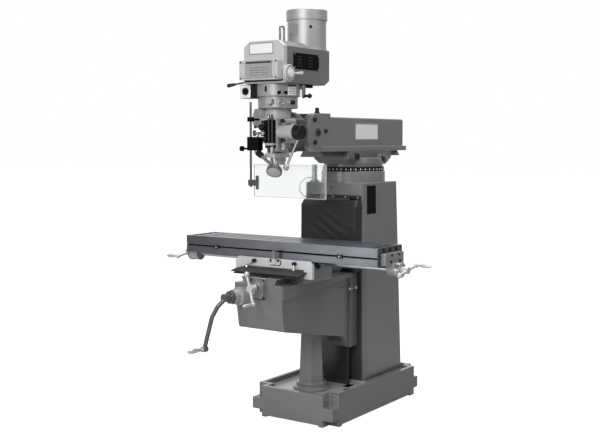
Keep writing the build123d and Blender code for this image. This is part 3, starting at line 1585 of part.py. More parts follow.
# Saddle casting: knee dovetail below, table dovetail above, half-round trough for the feed screw
saddle_top = saddle_z + saddle_height
saddle_back = saddle_y + saddle_depth / 2
with BuildPart() as saddle_casting:
    block((-saddle_half, saddle_front, saddle_z), (saddle_half, saddle_back, saddle_top))
    with BuildSketch(at_x(-saddle_half)):
        Polygon(
            (saddle_y - way_half_root + gib_thickness + run_gap, saddle_top - 1),
            (saddle_y - way_half_root + gib_thickness + run_gap, saddle_top),
            (saddle_y - way_half_tip + gib_thickness + run_gap, saddle_top + way_h),
            (saddle_y + way_half_tip - run_gap, saddle_top + way_h),
            (saddle_y + way_half_root - run_gap, saddle_top),
            (saddle_y + way_half_root - run_gap, saddle_top - 1), align=None,
        )
    extrude(amount=2 * saddle_half)
    rod(
        (-saddle_half, saddle_y, feed_z), (saddle_half, saddle_y, feed_z), feed_trough_r, mode=Mode.SUBTRACT
    )
    block(
        (-saddle_half, saddle_y - feed_trough_r, feed_z), (saddle_half, saddle_y + feed_trough_r, table_top),
        mode=Mode.SUBTRACT,
    )
    with BuildSketch(at_y(saddle_front)):
        Polygon(
            (-rail_root - run_gap - gib_thickness, saddle_z),
            (-rail_tip - run_gap - gib_thickness, knee_top + rail_h + run_gap),
            (rail_tip + run_gap, knee_top + rail_h + run_gap), (rail_root + run_gap, saddle_z), align=None,
        )
    extrude(amount=-saddle_depth, mode=Mode.SUBTRACT)
save(saddle_casting.part, "saddle_casting")

with BuildPart() as saddle_gibs:
    gib_low = knee_top + 1.5
    rail_lean = (rail_tip - rail_root) / rail_h
    low_x = -rail_root - (gib_low - knee_top) * rail_lean - run_gap
    high_x = -rail_tip - run_gap
    with BuildSketch(at_y(saddle_front + 4)):
        Polygon(
            (low_x, gib_low), (high_x, knee_top + rail_h),
            (high_x - gib_thickness + run_gap, knee_top + rail_h),
            (low_x - gib_thickness + run_gap, gib_low), align=None,
        )
    extrude(amount=-saddle_depth + 8)
    way_low = table_z + 1.5
    way_lean = (way_half_tip - way_half_root) / way_h
    low_y = saddle_y - way_half_root - (way_low - table_z) * way_lean + run_gap
    way_high = table_z + way_h - 1
    high_y = saddle_y - way_half_tip + way_lean + run_gap
    with BuildSketch(at_x(-saddle_half + 4)):
        Polygon(
            (low_y, way_low), (high_y, way_high), (high_y + gib_thickness - run_gap, way_high),
            (low_y + gib_thickness - run_gap, way_low), align=None,
        )
    extrude(amount=2 * saddle_half - 8)
save(saddle_gibs.part, "saddle_gibs")

nut_half = 30
with BuildPart() as feed_nuts:
    rod((-nut_half, saddle_y, feed_z), (nut_half, saddle_y, feed_z), feed_trough_r - press_gap)
    block(
        (-nut_half, saddle_y - feed_trough_r, saddle_top), (nut_half, saddle_y + feed_trough_r, table_top),
        mode=Mode.SUBTRACT,
    )
    rod(
        (-nut_half, saddle_y, feed_z), (nut_half, saddle_y, feed_z), feed_screw_r + screw_gap,
        mode=Mode.SUBTRACT,
    )
    block(
        (-cross_trough_half + 2, saddle_y - nut_half, trough_z + 2),
        (cross_trough_half - 2, saddle_y + nut_half, knee_top + rail_h + run_gap),
    )
    rod(
        (0, saddle_y - nut_half, cross_screw_z), (0, saddle_y + nut_half, cross_screw_z),
        cross_screw_r + screw_gap, mode=Mode.SUBTRACT,
    )
save(feed_nuts.part, "feed_nuts")

# Apron on the front of the saddle, with the table stop bracket
apron_y = saddle_front - apron_thickness
apron_top = table_z + 4
apron_low = apron_top - apron_height
apron_cut = 22
stop_bar_x = 14
stop_bar_half = 9
stop_bar_rise = 44
stop_foot_length = 74
stop_foot_height = 26
with BuildPart() as saddle_apron:
    with BuildSketch(at_y(saddle_front)):
        Polygon(
            (-apron_half, apron_low), (-apron_half, apron_top - apron_cut),
            (-apron_half + apron_cut, apron_top), (apron_half - apron_cut, apron_top),
            (apron_half, apron_top - apron_cut), (apron_half, apron_low),
            (apron_half - apron_leg, apron_low), (apron_half - apron_leg, apron_top - apron_bar),
            (-apron_half + apron_leg, apron_top - apron_bar), (-apron_half + apron_leg, apron_low),
            align=None,
        )
    extrude(amount=apron_thickness)
    with BuildSketch(at_y(apron_y)):
        with Locations((stop_bar_x, apron_top - 20)):
            SlotOverall(stop_foot_length, stop_foot_height)
    extrude(amount=6)
    block(
        (stop_bar_x - stop_bar_half, apron_y - 14, apron_top - 28),
        (stop_bar_x + stop_bar_half, apron_y - 2, apron_top + stop_bar_rise),
    )
save(saddle_apron.part, "saddle_apron")

lever_spots = {"left": (-118, (-0.9, 0, -0.42), 70), "right": (148, (0.2, 0, -0.98), 32)}
for side, (spot_x, towards, length) in lever_spots.items():
    save(
        lock_lever(
            Plane((spot_x, apron_y - run_gap, apron_top - 17), x_dir=towards, z_dir=(0, -1, 0)), length, 6
        ),
        f"table_lock_lever_{side}",
    )

# Rubber way mats that hang from the apron over the knee's rails
mat_half = 222
mat_t = 6
mat_z = apron_top - apron_bar - 10
mat_run = 84
mat_sag = 12
with BuildPart() as saddle_way_mats:
    for drop, inset, run in ((0, 0, mat_run), (mat_t + 4, mat_sag, mat_run - 8)):
        with BuildSketch(at_x(-mat_half + inset)):
            with BuildLine():
                top = Spline(
                    (apron_y, mat_z - drop), (apron_y - 0.45 * run, mat_z - drop - mat_sag / 6),
                    (apron_y - run, mat_z - drop - mat_sag),
                )
                low = Spline(
                    (apron_y, mat_z - drop - mat_t),
                    (apron_y - 0.45 * run, mat_z - drop - mat_sag / 6 - mat_t),
                    (apron_y - run, mat_z - drop - mat_sag - mat_t),
                )
                Line(top @ 0, low @ 0)
                Line(top @ 1, low @ 1)
            make_face()
        extrude(amount=2 * (mat_half - inset))
save(saddle_way_mats.part, "saddle_way_mats")

# Table casting: T-slots, end troughs, stop grooves and the dovetail below
table_front = saddle_y - table_width / 2
table_back = saddle_y + table_width / 2
table_half = table_length / 2
trough_wall = 22
with BuildPart() as table_casting:
    block((-table_half, table_front, table_z), (table_half, table_back, table_top))
    with BuildSketch(at_x(-table_half)):
        Polygon(
            (saddle_y - way_half_root, table_z), (saddle_y - way_half_tip, table_z + way_h),
            (saddle_y + way_half_tip, table_z + way_h), (saddle_y + way_half_root, table_z), align=None,
        )
        for k in (-1, 0, 1):
            with Locations((saddle_y + k * slot_pitch, table_top)):
                Rectangle(slot_width, slot_neck + slot_deep, align=(Align.CENTER, Align.MAX))
            with Locations((saddle_y + k * slot_pitch, table_top - slot_neck)):
                Rectangle(slot_wide, slot_deep, align=(Align.CENTER, Align.MAX))
        for edge_y in (table_front, table_back):
            with Locations((edge_y, table_z + groove_low + groove_height / 2)):
                Rectangle(2 * groove_depth, groove_height)
    extrude(amount=table_length, mode=Mode.SUBTRACT)
    for end in (-1, 1):
        with BuildSketch(at_z(table_top)):
            with Locations((end * (table_half - trough_inset), saddle_y)):
                RectangleRounded(trough_width, table_width - 2 * trough_wall, 8)
        extrude(amount=-slot_neck, mode=Mode.SUBTRACT)
save(table_casting.part, "table_casting")

bracket_half = 95
bearing_r = 39
bearing_reach = 46
with BuildPart() as table_end_brackets:
    for end in (-1, 1):
        face = end * table_half
        with BuildSketch(at_x(min(face, face + end * bracket_thickness))):
            with Locations((saddle_y, table_z + 4)):
                RectangleRounded(2 * bracket_half, 2 * (table_height - slot_neck - slot_deep - 8), 5)
                Rectangle(2 * bracket_half, table_height, align=(Align.CENTER, Align.MAX), mode=Mode.SUBTRACT)
            with Locations((saddle_y, feed_z)):
                Circle(bearing_r)
                Rectangle(2 * bearing_r, bearing_r, align=(Align.CENTER, Align.MIN))
        extrude(amount=bracket_thickness)
        rod((face, saddle_y, feed_z), (face + end * bearing_reach, saddle_y, feed_z), bearing_r)
        rod(
            (face, saddle_y, feed_z), (face + end * bearing_reach, saddle_y, feed_z), feed_screw_r + run_gap,
            mode=Mode.SUBTRACT,
        )
save(table_end_brackets.part, "table_end_brackets")

# Table feed screw with a dial at each end, and its two ball cranks
feed_dial_r = 41
feed_dial_h = 24
feed_hub = 40
dial_start = table_half + bearing_reach + run_gap
with BuildPart() as table_feed_screw:
    screw_half = dial_start + feed_dial_h + feed_hub - end_wall - 1
    rod((-screw_half, saddle_y, feed_z), (screw_half, saddle_y, feed_z), feed_screw_r)
    for end in (-1, 1):
        rod(
            (end * dial_start, saddle_y, feed_z), (end * (dial_start + feed_dial_h), saddle_y, feed_z),
            feed_dial_r,
        )
save(table_feed_screw.part, "table_feed_screw")

crank_start = dial_start + feed_dial_h
feed_hub_r = 18
feed_arms = (76, 80)      # lengths of the crank's two arms
right_crank = ball_crank(
    Plane((crank_start, saddle_y, feed_z), x_dir=(0, 0.97, 0.24), z_dir=(1, 0, 0)),
    feed_hub_r, feed_hub, feed_screw_r, *feed_arms, 10,
)
left_crank = ball_crank(
    Plane((-crank_start, saddle_y, feed_z), x_dir=(0, -0.97, -0.24), z_dir=(-1, 0, 0)),
    feed_hub_r, feed_hub, feed_screw_r, *feed_arms, 10,
)
save(Compound(children=[right_crank, left_crank]), "table_cranks")
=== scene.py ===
import math

import bmesh
import bpy
from mathutils import Matrix, Vector


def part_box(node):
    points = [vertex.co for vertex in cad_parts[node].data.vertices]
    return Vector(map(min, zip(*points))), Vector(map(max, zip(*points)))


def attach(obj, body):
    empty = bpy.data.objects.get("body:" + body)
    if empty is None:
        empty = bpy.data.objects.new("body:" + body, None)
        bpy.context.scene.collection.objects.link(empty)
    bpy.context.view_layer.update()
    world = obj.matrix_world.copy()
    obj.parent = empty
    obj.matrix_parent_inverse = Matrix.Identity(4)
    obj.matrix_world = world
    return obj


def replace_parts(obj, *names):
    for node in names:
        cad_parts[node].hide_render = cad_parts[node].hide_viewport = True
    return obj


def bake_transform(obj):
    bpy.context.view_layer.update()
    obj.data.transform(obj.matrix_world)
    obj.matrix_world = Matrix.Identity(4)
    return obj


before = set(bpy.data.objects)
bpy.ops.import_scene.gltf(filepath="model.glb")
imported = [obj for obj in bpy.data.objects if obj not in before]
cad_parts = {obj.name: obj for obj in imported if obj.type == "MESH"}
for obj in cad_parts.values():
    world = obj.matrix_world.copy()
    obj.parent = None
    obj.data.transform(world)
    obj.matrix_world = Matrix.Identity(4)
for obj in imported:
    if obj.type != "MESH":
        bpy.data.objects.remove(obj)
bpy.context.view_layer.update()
scene = bpy.context.scene
mm = 0.001


# Node helpers, for shaders and for Geometry Nodes

def feed(node, values):
    # a socket is linked, anything else is set
    for key, value in values.items():
        if isinstance(value, bpy.types.NodeSocket):
            node.id_data.links.new(value, node.inputs[key])
        else:
            node.inputs[key].default_value = value


def addNode(tree, kind, values=None, **settings):
    node = tree.nodes.new(kind)
    for key, value in settings.items():
        setattr(node, key, value)
    feed(node, values or {})
    return node


def makeGroup(name, kind, inputs, outputs):
    # inputs: (label, type, start value if it has one); outputs: (label, type)
    tree = bpy.data.node_groups.new(name, kind)
    for label, socketType, *value in inputs:
        socket = tree.interface.new_socket(
            name=label, in_out="INPUT", socket_type="NodeSocket" + socketType)
        if value:
            socket.default_value = value[0]
    for label, socketType in outputs:
        tree.interface.new_socket(name=label, in_out="OUTPUT", socket_type="NodeSocket" + socketType)
    return tree, tree.nodes.new("NodeGroupInput").outputs, tree.nodes.new("NodeGroupOutput")


def mathNode(tree, operation, *values, **settings):
    node = addNode(tree, "ShaderNodeMath", dict(enumerate(values)), operation=operation, **settings)
    return node.outputs["Value"]


def vectorMath(tree, operation, *values):
    node = addNode(tree, "ShaderNodeVectorMath", dict(enumerate(values)), operation=operation)
    return node.outputs["Value" if operation == "DOT_PRODUCT" else "Vector"]


def joinXYZ(tree, values):
    return addNode(tree, "ShaderNodeCombineXYZ", values).outputs["Vector"]


def spread(tree, value, source=(0.0, 1.0), target=(0.0, 1.0), **settings):
    # carries the source range over to the target range
    return addNode(tree, "ShaderNodeMapRange", {
        "Value": value, "From Min": source[0], "From Max": source[1],
        "To Min": target[0], "To Max": target[1]}, **settings).outputs["Result"]


def noise(tree, place, scale, detail, roughness):
    return addNode(tree, "ShaderNodeTexNoise", {
        "Vector": place, "Scale": scale, "Detail": detail, "Roughness": roughness}).outputs["Fac"]


def mixColours(tree, share, first, second):
    # first and second are colours, or sockets that carry one
    ends = [c if isinstance(c, bpy.types.NodeSocket) else (*c, 1.0) for c in (first, second)]
    return addNode(tree, "ShaderNodeMix", {0: share, 6: ends[0], 7: ends[1]}, data_type="RGBA").outputs[2]


def bumped(tree, height, strength, depth, **more):
    return addNode(tree, "ShaderNodeBump", {
        "Height": height, "Strength": strength, "Distance": depth, **more}).outputs["Normal"]


# Shader groups that several finishes share

cloudRange = (0.3, 0.7)  # the part of a noise that is used from end to end


def castingSkinGroup():
    # slow colour blotches and the fine peel of sprayed paint
    tree, start, end = makeGroup(
        "castingSkin", "ShaderNodeTree",
        [("Vector", "Vector"), ("Blotch Scale", "Float", 7.0), ("Peel Scale", "Float", 420.0)],
        [("Blotch", "Float"), ("Peel", "Float")])
    blotch = noise(tree, start["Vector"], start["Blotch Scale"], detail=4.0, roughness=0.6)
    peel = noise(tree, start["Vector"], start["Peel Scale"], detail=2.0, roughness=0.5)
    feed(end, {"Blotch": spread(tree, blotch, cloudRange), "Peel": peel})
    return tree


def edgeRubGroup():
    # rounded edges for the light, and a mask along them, broken where hands and rags have rubbed them; paints
    # and metals lighten edges by it, as rubbed wear and as a painted highlight
    tree, start, end = makeGroup(
        "edgeRub", "ShaderNodeTree",
        [("Vector", "Vector"), ("Edge Radius", "Float", 0.003), ("Break Scale", "Float", 60.0)],
        [("Rub", "Float"), ("Normal", "Vector")])
    rounded = addNode(tree, "ShaderNodeBevel", {"Radius": start["Edge Radius"]}, samples=6).outputs["Normal"]
    flat = addNode(tree, "ShaderNodeNewGeometry").outputs["True Normal"]
    turned = mathNode(tree, "SUBTRACT", 1.0, vectorMath(tree, "DOT_PRODUCT", rounded, flat))
    raised = spread(tree, turned, (0.02, 0.2))
    broken = noise(tree, start["Vector"], start["Break Scale"], detail=5.0, roughness=0.7)
    rub = mathNode(tree, "MULTIPLY", raised, spread(tree, broken, (0.42, 0.62), (0.5, 1.0)), use_clamp=True)
    feed(end, {"Rub": rub, "Normal": rounded})
    return tree


def grindMarksGroup():
    # long streaks left by a grinding wheel or a lathe tool
    tree, start, end = makeGroup(
        "grindMarks", "ShaderNodeTree",
        [("Vector", "Vector"), ("Stretch", "Vector", (1.0, 1.0, 1.0)), ("Line Scale", "Float", 300.0),
         ("Cloud Scale", "Float", 6.0)],
        [("Streak", "Float"), ("Cloud", "Float")])
    squeezed = vectorMath(tree, "MULTIPLY", start["Vector"], start["Stretch"])
    streak = noise(tree, squeezed, start["Line Scale"], detail=4.0, roughness=0.7)
    cloud = noise(tree, start["Vector"], start["Cloud Scale"], detail=3.0, roughness=0.6)
    feed(end, {"Streak": streak, "Cloud": spread(tree, cloud, cloudRange)})
    return tree


castingSkin = castingSkinGroup()
edgeRub = edgeRubGroup()
grindMarks = grindMarksGroup()


def useGroup(tree, group, place, look):
    # settings are named after the group's inputs: "Blotch Scale" takes blotchScale
    node = addNode(tree, "ShaderNodeGroup", {"Vector": place}, node_tree=group)
    for socket in node.inputs[1:]:
        first, *rest = socket.name.split()
        socket.default_value = look[first.lower() + "".join(rest)]
    return node.outputs


# Finishes

def newMaterial(name):
    material = bpy.data.materials.new(name)
    material.use_nodes = True
    tree = material.node_tree
    place = addNode(tree, "ShaderNodeTexCoord").outputs["Object"]
    return material, tree, tree.nodes["Principled BSDF"], place


def past(axis, limit, fade=0.5):
    # a plane across an axis: "x" for what lies beyond the limit, "-x" for what lies before it
    side = -1.0 if axis[0] == "-" else 1.0
    along = [float(letter == axis[-1]) for letter in "xyz"]
    return [limit * k for k in along], [side * k for k in along], fade


def addZones(tree, place, body, zones):
    # another tone past some planes, for two-tone parts and for painted shade and light: each is a point in
    # millimetres, a direction, and how softly it starts
    for planes, colour in zones:
        share = 1.0
        for point, towards, fade in planes:
            offset = vectorMath(tree, "SUBTRACT", place, Vector(point) * mm)
            reach = vectorMath(tree, "DOT_PRODUCT", offset, towards)
            share = mathNode(tree, "MULTIPLY", share, spread(tree, reach, (-fade * mm, fade * mm)))
        body = mixColours(tree, share, body, colour)
    return body


def addRub(tree, body, rub, look):
    # edges lighter by the edge mask: rubbed wear and a painted highlight
    return mixColours(tree, mathNode(tree, "MULTIPLY", rub["Rub"], look["rubShare"]), body, look["rubColour"])


def paintFinish(name, look):
    # sprayed paint on a casting: blotches, peel, and edges a little lighter, as rubbed wear and as a painted
    # highlight
    material, tree, surface, place = newMaterial(name)
    skin = useGroup(tree, castingSkin, place, look)
    rub = useGroup(tree, edgeRub, place, look)
    body = addRub(tree, mixColours(tree, skin["Blotch"], look["shade"], look["colour"]), rub, look)
    feed(surface, {
        "Base Color": addZones(tree, place, body, look["zones"]),
        "Roughness": spread(tree, skin["Blotch"], target=look["rough"]),
        "Normal": bumped(tree, skin["Peel"], look["peelStrength"], look["peelDepth"], Normal=rub["Normal"]),
        "Metallic": look["metallic"], "Coat Weight": look["coat"], "Coat Roughness": look["coatRough"],
        "Specular IOR Level": look["specular"]})
    return material


def metalFinish(name, look):
    # bare metal with the marks of the wheel that finished it, and edges lighter as rubbed wear and as a painted
    # highlight
    material, tree, surface, place = newMaterial(name)
    marks = useGroup(tree, grindMarks, place, look)
    rub = useGroup(tree, edgeRub, place, look)
    body = mixColours(tree, marks["Cloud"], look["shade"], look["colour"])
    feed(surface, {
        "Base Color": addRub(tree, addZones(tree, place, body, look["zones"]), rub, look),
        "Roughness": spread(tree, marks["Streak"], target=look["rough"]),
        "Normal": bumped(tree, marks["Streak"], look["lineStrength"], look["lineDepth"], Normal=rub["Normal"]),
        "Metallic": look["metallic"]})
    return material


def rubberFinish(name, look):
    # matt rubber: fine grain, and dust that stays on what faces up
    material, tree, surface, place = newMaterial(name)
    skin = useGroup(tree, castingSkin, place, look)
    facing = addNode(tree, "ShaderNodeNewGeometry").outputs["Normal"]
    rise = addNode(tree, "ShaderNodeSeparateXYZ", {0: facing}).outputs["Z"]
    upper = spread(tree, rise, look["dustFrom"], (0.0, look["dustMost"]))
    dust = mathNode(tree, "MULTIPLY", upper, skin["Blotch"])
    feed(surface, {
        "Base Color": mixColours(tree, dust, look["colour"], look["dusty"]),
        "Roughness": spread(tree, skin["Blotch"], target=look["rough"]),
        "Normal": bumped(tree, skin["Peel"], look["grain"], look["grainDepth"])})
    return material


def clearFinish(name, look):
    # acrylic sheet with faint wiping marks and greyer cut edges
    material, tree, surface, place = newMaterial(name)
    marks = useGroup(tree, grindMarks, place, look)
    rub = useGroup(tree, edgeRub, place, look)
    feed(surface, {
        "Base Color": mixColours(tree, rub["Rub"], look["colour"], look["edge"]),
        "Roughness": spread(tree, marks["Streak"], target=look["rough"]),
        "Transmission Weight": 1.0, "IOR": look["bend"]})
    return material


def inkFinish(name, look):
    # printed or filled marks and enamelled plates, slightly uneven
    material, tree, surface, place = newMaterial(name)
    skin = useGroup(tree, castingSkin, place, look)
    feed(surface, {
        "Base Color": mixColours(tree, skin["Blotch"], look["shade"], look["colour"]),
        "Roughness": spread(tree, skin["Peel"], target=look["rough"])})
    return material


# "on" lists the nodes that wear a finish, and "slot" is gathered into slotOf
paintLook = dict(
    rubShare=0.5, rough=(0.32, 0.42), metallic=0.0, coat=0.1, coatRough=0.22, specular=0.5, blotchScale=12.0,
    peelScale=480.0, peelStrength=0.2, peelDepth=0.0006, edgeRadius=0.003, breakScale=55.0, zones=[])
castingLook = dict(
    rubColour=(0.42, 0.425, 0.42), rubShare=0.85, rough=(0.27, 0.36), coat=0.55, blotchScale=5.0,
    peelScale=380.0, peelStrength=0.22, edgeRadius=0.009, slot="casting_paint")
paints = dict(
    castingPaint=dict(
        castingLook, colour=(0.188, 0.193, 0.191), shade=(0.166, 0.171, 0.169),
        on=["elevating_pedestal", "ram_casting", "saddle_casting"]),
    columnPaint=dict(
        castingLook, colour=(0.17, 0.175, 0.173), shade=(0.148, 0.153, 0.151), on=["column_casting"],
        # painted shade: darker towards the bottom; painted shadow on the front below the way cover's clamp,
        # partly the darker oiled ways; painted light: a lighter top
        zones=[([past("-z", 620.0, fade=520.0)], (0.104, 0.108, 0.106)),
               ([past("-y", -58.0), past("-z", 1245.0)], (0.024, 0.025, 0.026)),
               ([past("z", 1329.0)], (0.19, 0.195, 0.193))]),
    kneePaint=dict(
        castingLook, colour=(0.16, 0.165, 0.163), shade=(0.138, 0.143, 0.141), on=["knee_casting"],
        # painted shade: the right side darker, as in the table's shadow
        zones=[([past("x", 149.5)], (0.098, 0.103, 0.101))]),
    basePaint=dict(
        castingLook, colour=(0.192, 0.197, 0.195), shade=(0.17, 0.175, 0.173), on=["base_casting"],
        # painted light on the pan floor; painted shade on the right side, darker still towards the rear
        zones=[([past("x", -249.0), past("-x", 249.0), past("y", -465.0), past("-z", 151.0), past("z", 149.0)],
                (0.4, 0.405, 0.403)),
               ([past("x", 273.0)], (0.092, 0.096, 0.094)),
               ([past("x", 273.0), past("y", 100.0, fade=400.0)], (0.05, 0.053, 0.052))]),
    turretPaint=dict(
        # painted shade: darker than the other castings, and darker still at the front under the ram
        castingLook, colour=(0.135, 0.139, 0.137), shade=(0.115, 0.119, 0.117), on=["turret_casting"],
        zones=[([past("-y", -100.0)], (0.05, 0.052, 0.051))]),
    housingPaint=dict(
        colour=(0.188, 0.193, 0.191), shade=(0.166, 0.171, 0.169), rubColour=(0.34, 0.345, 0.34),
        rough=(0.34, 0.44), metallic=0.15, coat=0.2, blotchScale=8.0, peelScale=420.0, peelStrength=0.18,
        edgeRadius=0.006, on=["belt_housing"]),
    silverPaint=dict(
        colour=(0.57, 0.58, 0.576), shade=(0.525, 0.535, 0.531), rubColour=(0.84, 0.85, 0.845),
        rough=(0.34, 0.44), metallic=0.1, blotchScale=9.0, peelScale=520.0, peelStrength=0.14,
        on=["front_cover", "speed_plate_box", "speed_dial"]),
    motorPaint=dict(
        colour=(0.46, 0.47, 0.466), shade=(0.42, 0.43, 0.426), rubColour=(0.6, 0.61, 0.605), rubShare=0.4,
        rough=(0.45, 0.48), metallic=0.5, coat=0.0, blotchScale=10.0, peelScale=620.0, peelStrength=0.12,
        on=["motor_body", "motor_fan_cover", "motor_pulley", "spindle_pulley"]),
    gearCasePaint=dict(
        colour=(0.37, 0.38, 0.376), shade=(0.325, 0.335, 0.331), rubColour=(0.62, 0.63, 0.625),
        rough=(0.38, 0.42), metallic=0.4, on=["feed_gear_case", "lower_gear_case", "upper_gear_case"]),
    headPaint=dict(
        colour=(0.43, 0.44, 0.436), shade=(0.38, 0.39, 0.386), rubColour=(0.66, 0.67, 0.665), metallic=0.12,
        on=["head_casting"],
        # the first zone gives the rear flange a dark grey like the adapter, partly painted shade
        zones=[([past("y", -600.0)], (0.075, 0.078, 0.077)),
               ([past("-y", -600.0), past("-x", -62.0)], (0.56, 0.57, 0.566))]),
    adapterPaint=dict(
        # much darker than the other castings: partly painted shade between head and ram
        colour=(0.066, 0.069, 0.068), shade=(0.052, 0.055, 0.054), rubColour=(0.3, 0.305, 0.3),
        rough=(0.3, 0.4), coat=0.25, blotchScale=5.0, peelScale=380.0, peelStrength=0.22, edgeRadius=0.004,
        on=["ram_adapter"]),
    apronPaint=dict(
        colour=(0.65, 0.66, 0.66), shade=(0.59, 0.6, 0.6), rubColour=(0.68, 0.69, 0.69), rubShare=0.4,
        rough=(0.33, 0.42), metallic=0.1, coat=0.15, blotchScale=8.0, peelScale=460.0, peelStrength=0.18,
        on=["saddle_apron"], zones=[([past("z", 941.0)], (0.2, 0.205, 0.205))]),
    lampPaint=dict(
        colour=(0.115, 0.118, 0.117), shade=(0.09, 0.093, 0.092), rubColour=(0.3, 0.3, 0.3), metallic=0.3,
        blotchScale=16.0, peelScale=700.0, peelStrength=0.15, edgeRadius=0.002, on=["lamp_head"]),
    blackPaint=dict(
        colour=(0.006, 0.0065, 0.0065), shade=(0.004, 0.0045, 0.0045), rubColour=(0.09, 0.09, 0.09),
        rubShare=0.4, rough=(0.36, 0.48), coat=0.0, specular=0.04, blotchScale=14.0, peelScale=700.0,
        peelStrength=0.15, edgeRadius=0.002, slot="black_steel", on=["turret_scale_ring", "guard_clamp"]),
    blackPlastic=dict(
        colour=(0.011, 0.011, 0.012), shade=(0.007, 0.007, 0.008), rubColour=(0.06, 0.06, 0.062), rubShare=0.3,
        rough=(0.34, 0.46), coat=0.0, specular=0.2, blotchScale=30.0, peelScale=1500.0, peelStrength=0.3,
        edgeRadius=0.0015, slot="black_plastic", on=["switch_box", "switch_knob"]),
)
metalLook = dict(
    rubShare=0.4, rough=(0.26, 0.4), metallic=1.0, stretch=(1.0, 1.0, 1.0), lineScale=320.0, cloudScale=30.0,
    lineStrength=0.08, lineDepth=0.0003, edgeRadius=0.0015, breakScale=90.0, zones=[])
metals = dict(
    groundSteel=dict(
        colour=(0.56, 0.565, 0.575), shade=(0.44, 0.445, 0.455), rubColour=(0.8, 0.8, 0.81), rubShare=0.5,
        rough=(0.2, 0.34), stretch=(1.0, 1.0, 0.15), lineScale=700.0, cloudScale=22.0, lineStrength=0.12,
        slot="polished_steel",
        on=["ram_pinion_shaft", "quill_sleeve", "depth_stop_nut", "spindle", "drawbar", "elevating_shaft",
            "elevating_screw", "cross_feed_screw", "table_feed_screw", "knee_gib", "saddle_gibs"]),
    tableSteel=dict(
        colour=(0.245, 0.255, 0.275), shade=(0.17, 0.177, 0.192), rubColour=(0.6, 0.61, 0.62), rubShare=0.6,
        rough=(0.24, 0.42), stretch=(0.02, 1.0, 1.0), lineScale=420.0, cloudScale=4.0, lineStrength=0.18,
        # painted shade: the right end darker
        edgeRadius=0.002, on=["table_casting"], zones=[([past("x", 634.6)], (0.13, 0.135, 0.145))]),
    polishedSteel=dict(
        colour=(0.6, 0.605, 0.61), shade=(0.52, 0.525, 0.53), rubColour=(0.74, 0.74, 0.745), rubShare=0.3,
        rough=(0.2, 0.34), lineScale=260.0, cloudScale=18.0, lineStrength=0.05, edgeRadius=0.002,
        slot="polished_steel", on=["lifting_hoop", "lamp_arm", "knee_lock_lever", "oil_line"]),
    handleSilver=dict(
        colour=(0.66, 0.665, 0.67), shade=(0.58, 0.585, 0.59), rubColour=(0.8, 0.8, 0.805), rubShare=0.3,
        rough=(0.3, 0.4), metallic=0.45, lineScale=260.0, cloudScale=18.0, lineStrength=0.05, edgeRadius=0.003,
        on=["cross_feed_crank", "table_cranks", "table_lock_lever_left", "table_lock_lever_right"]),
    castSilver=dict(
        colour=(0.5, 0.505, 0.51), shade=(0.42, 0.425, 0.43), rubColour=(0.72, 0.72, 0.725), rough=(0.32, 0.44),
        metallic=0.4, lineScale=300.0, cloudScale=20.0, lineStrength=0.1, edgeRadius=0.002,
        # painted shade: the right bracket darker
        on=["knee_bearings", "table_end_brackets"], zones=[([past("x", 630.0)], (0.29, 0.295, 0.3))]),
    blackSteel=dict(
        colour=(0.045, 0.046, 0.048), shade=(0.025, 0.026, 0.028), rubColour=(0.24, 0.24, 0.245), rubShare=0.45,
        rough=(0.26, 0.42), metallic=0.7, lineStrength=0.1, slot="black_steel",
        on=["nod_worm_shaft", "brake_lever"]),
    darkSteel=dict(
        colour=(0.15, 0.153, 0.157), shade=(0.105, 0.107, 0.11), rubColour=(0.4, 0.4, 0.405), rubShare=0.5,
        rough=(0.24, 0.38), metallic=0.9, stretch=(1.0, 1.0, 0.2), lineScale=420.0, cloudScale=16.0,
        on=["guard_bar"]),
    liftCrankSteel=dict(
        colour=(0.17, 0.173, 0.177), shade=(0.12, 0.122, 0.125), rubColour=(0.45, 0.45, 0.455), rubShare=0.5,
        rough=(0.2, 0.34), metallic=0.6, lineScale=260.0, cloudScale=14.0, lineStrength=0.06, edgeRadius=0.002,
        on=["elevating_crank"],
        zones=[([((-159.9, -966.4, 743.0), (-0.23, -0.973, 0.0), 0.5)], (0.62, 0.625, 0.63))]),
    feedLeverSteel=dict(
        colour=(0.03, 0.031, 0.033), shade=(0.02, 0.021, 0.022), rubColour=(0.25, 0.25, 0.255),
        rough=(0.24, 0.38), metallic=0.8, on=["quill_feed_lever"],
        zones=[([past("-z", 1576.0)], (0.4, 0.404, 0.41))]),
    rangeLeverSteel=dict(
        colour=(0.42, 0.425, 0.43), shade=(0.34, 0.345, 0.35), rubColour=(0.6, 0.6, 0.605), metallic=0.8,
        on=["range_lever"], zones=[([past("x", 139.5)], (0.02, 0.021, 0.022))]),
    collarSteel=dict(
        colour=(0.55, 0.555, 0.56), shade=(0.46, 0.465, 0.47), rubColour=(0.7, 0.7, 0.705), metallic=0.45,
        on=["quill_collar"], zones=[([past("z", 1508.0)], (0.05, 0.051, 0.053))]),
    bronzeCast=dict(
        colour=(0.55, 0.4, 0.19), shade=(0.43, 0.3, 0.13), rubColour=(0.75, 0.58, 0.3), rough=(0.28, 0.42),
        lineScale=220.0, cloudScale=26.0, lineStrength=0.15, on=["feed_nuts"]),
    plateMetal=dict(
        colour=(0.42, 0.43, 0.435), shade=(0.36, 0.37, 0.375), rubColour=(0.82, 0.82, 0.825), rough=(0.3, 0.42),
        metallic=0.55, stretch=(1.0, 0.03, 1.0), lineScale=900.0, cloudScale=12.0, lineStrength=0.1,
        edgeRadius=0.0008, slot="silver_paint"),
)
rubbers = dict(
    rubber=dict(
        colour=(0.011, 0.011, 0.012), dusty=(0.075, 0.076, 0.075), dustFrom=(-0.5, 1.0), dustMost=0.5,
        rough=(0.42, 0.6), blotchScale=11.0, peelScale=900.0, grain=0.3, grainDepth=0.0004, slot="rubber",
        on=["drive_belt", "way_cover", "saddle_way_mats"]),
)
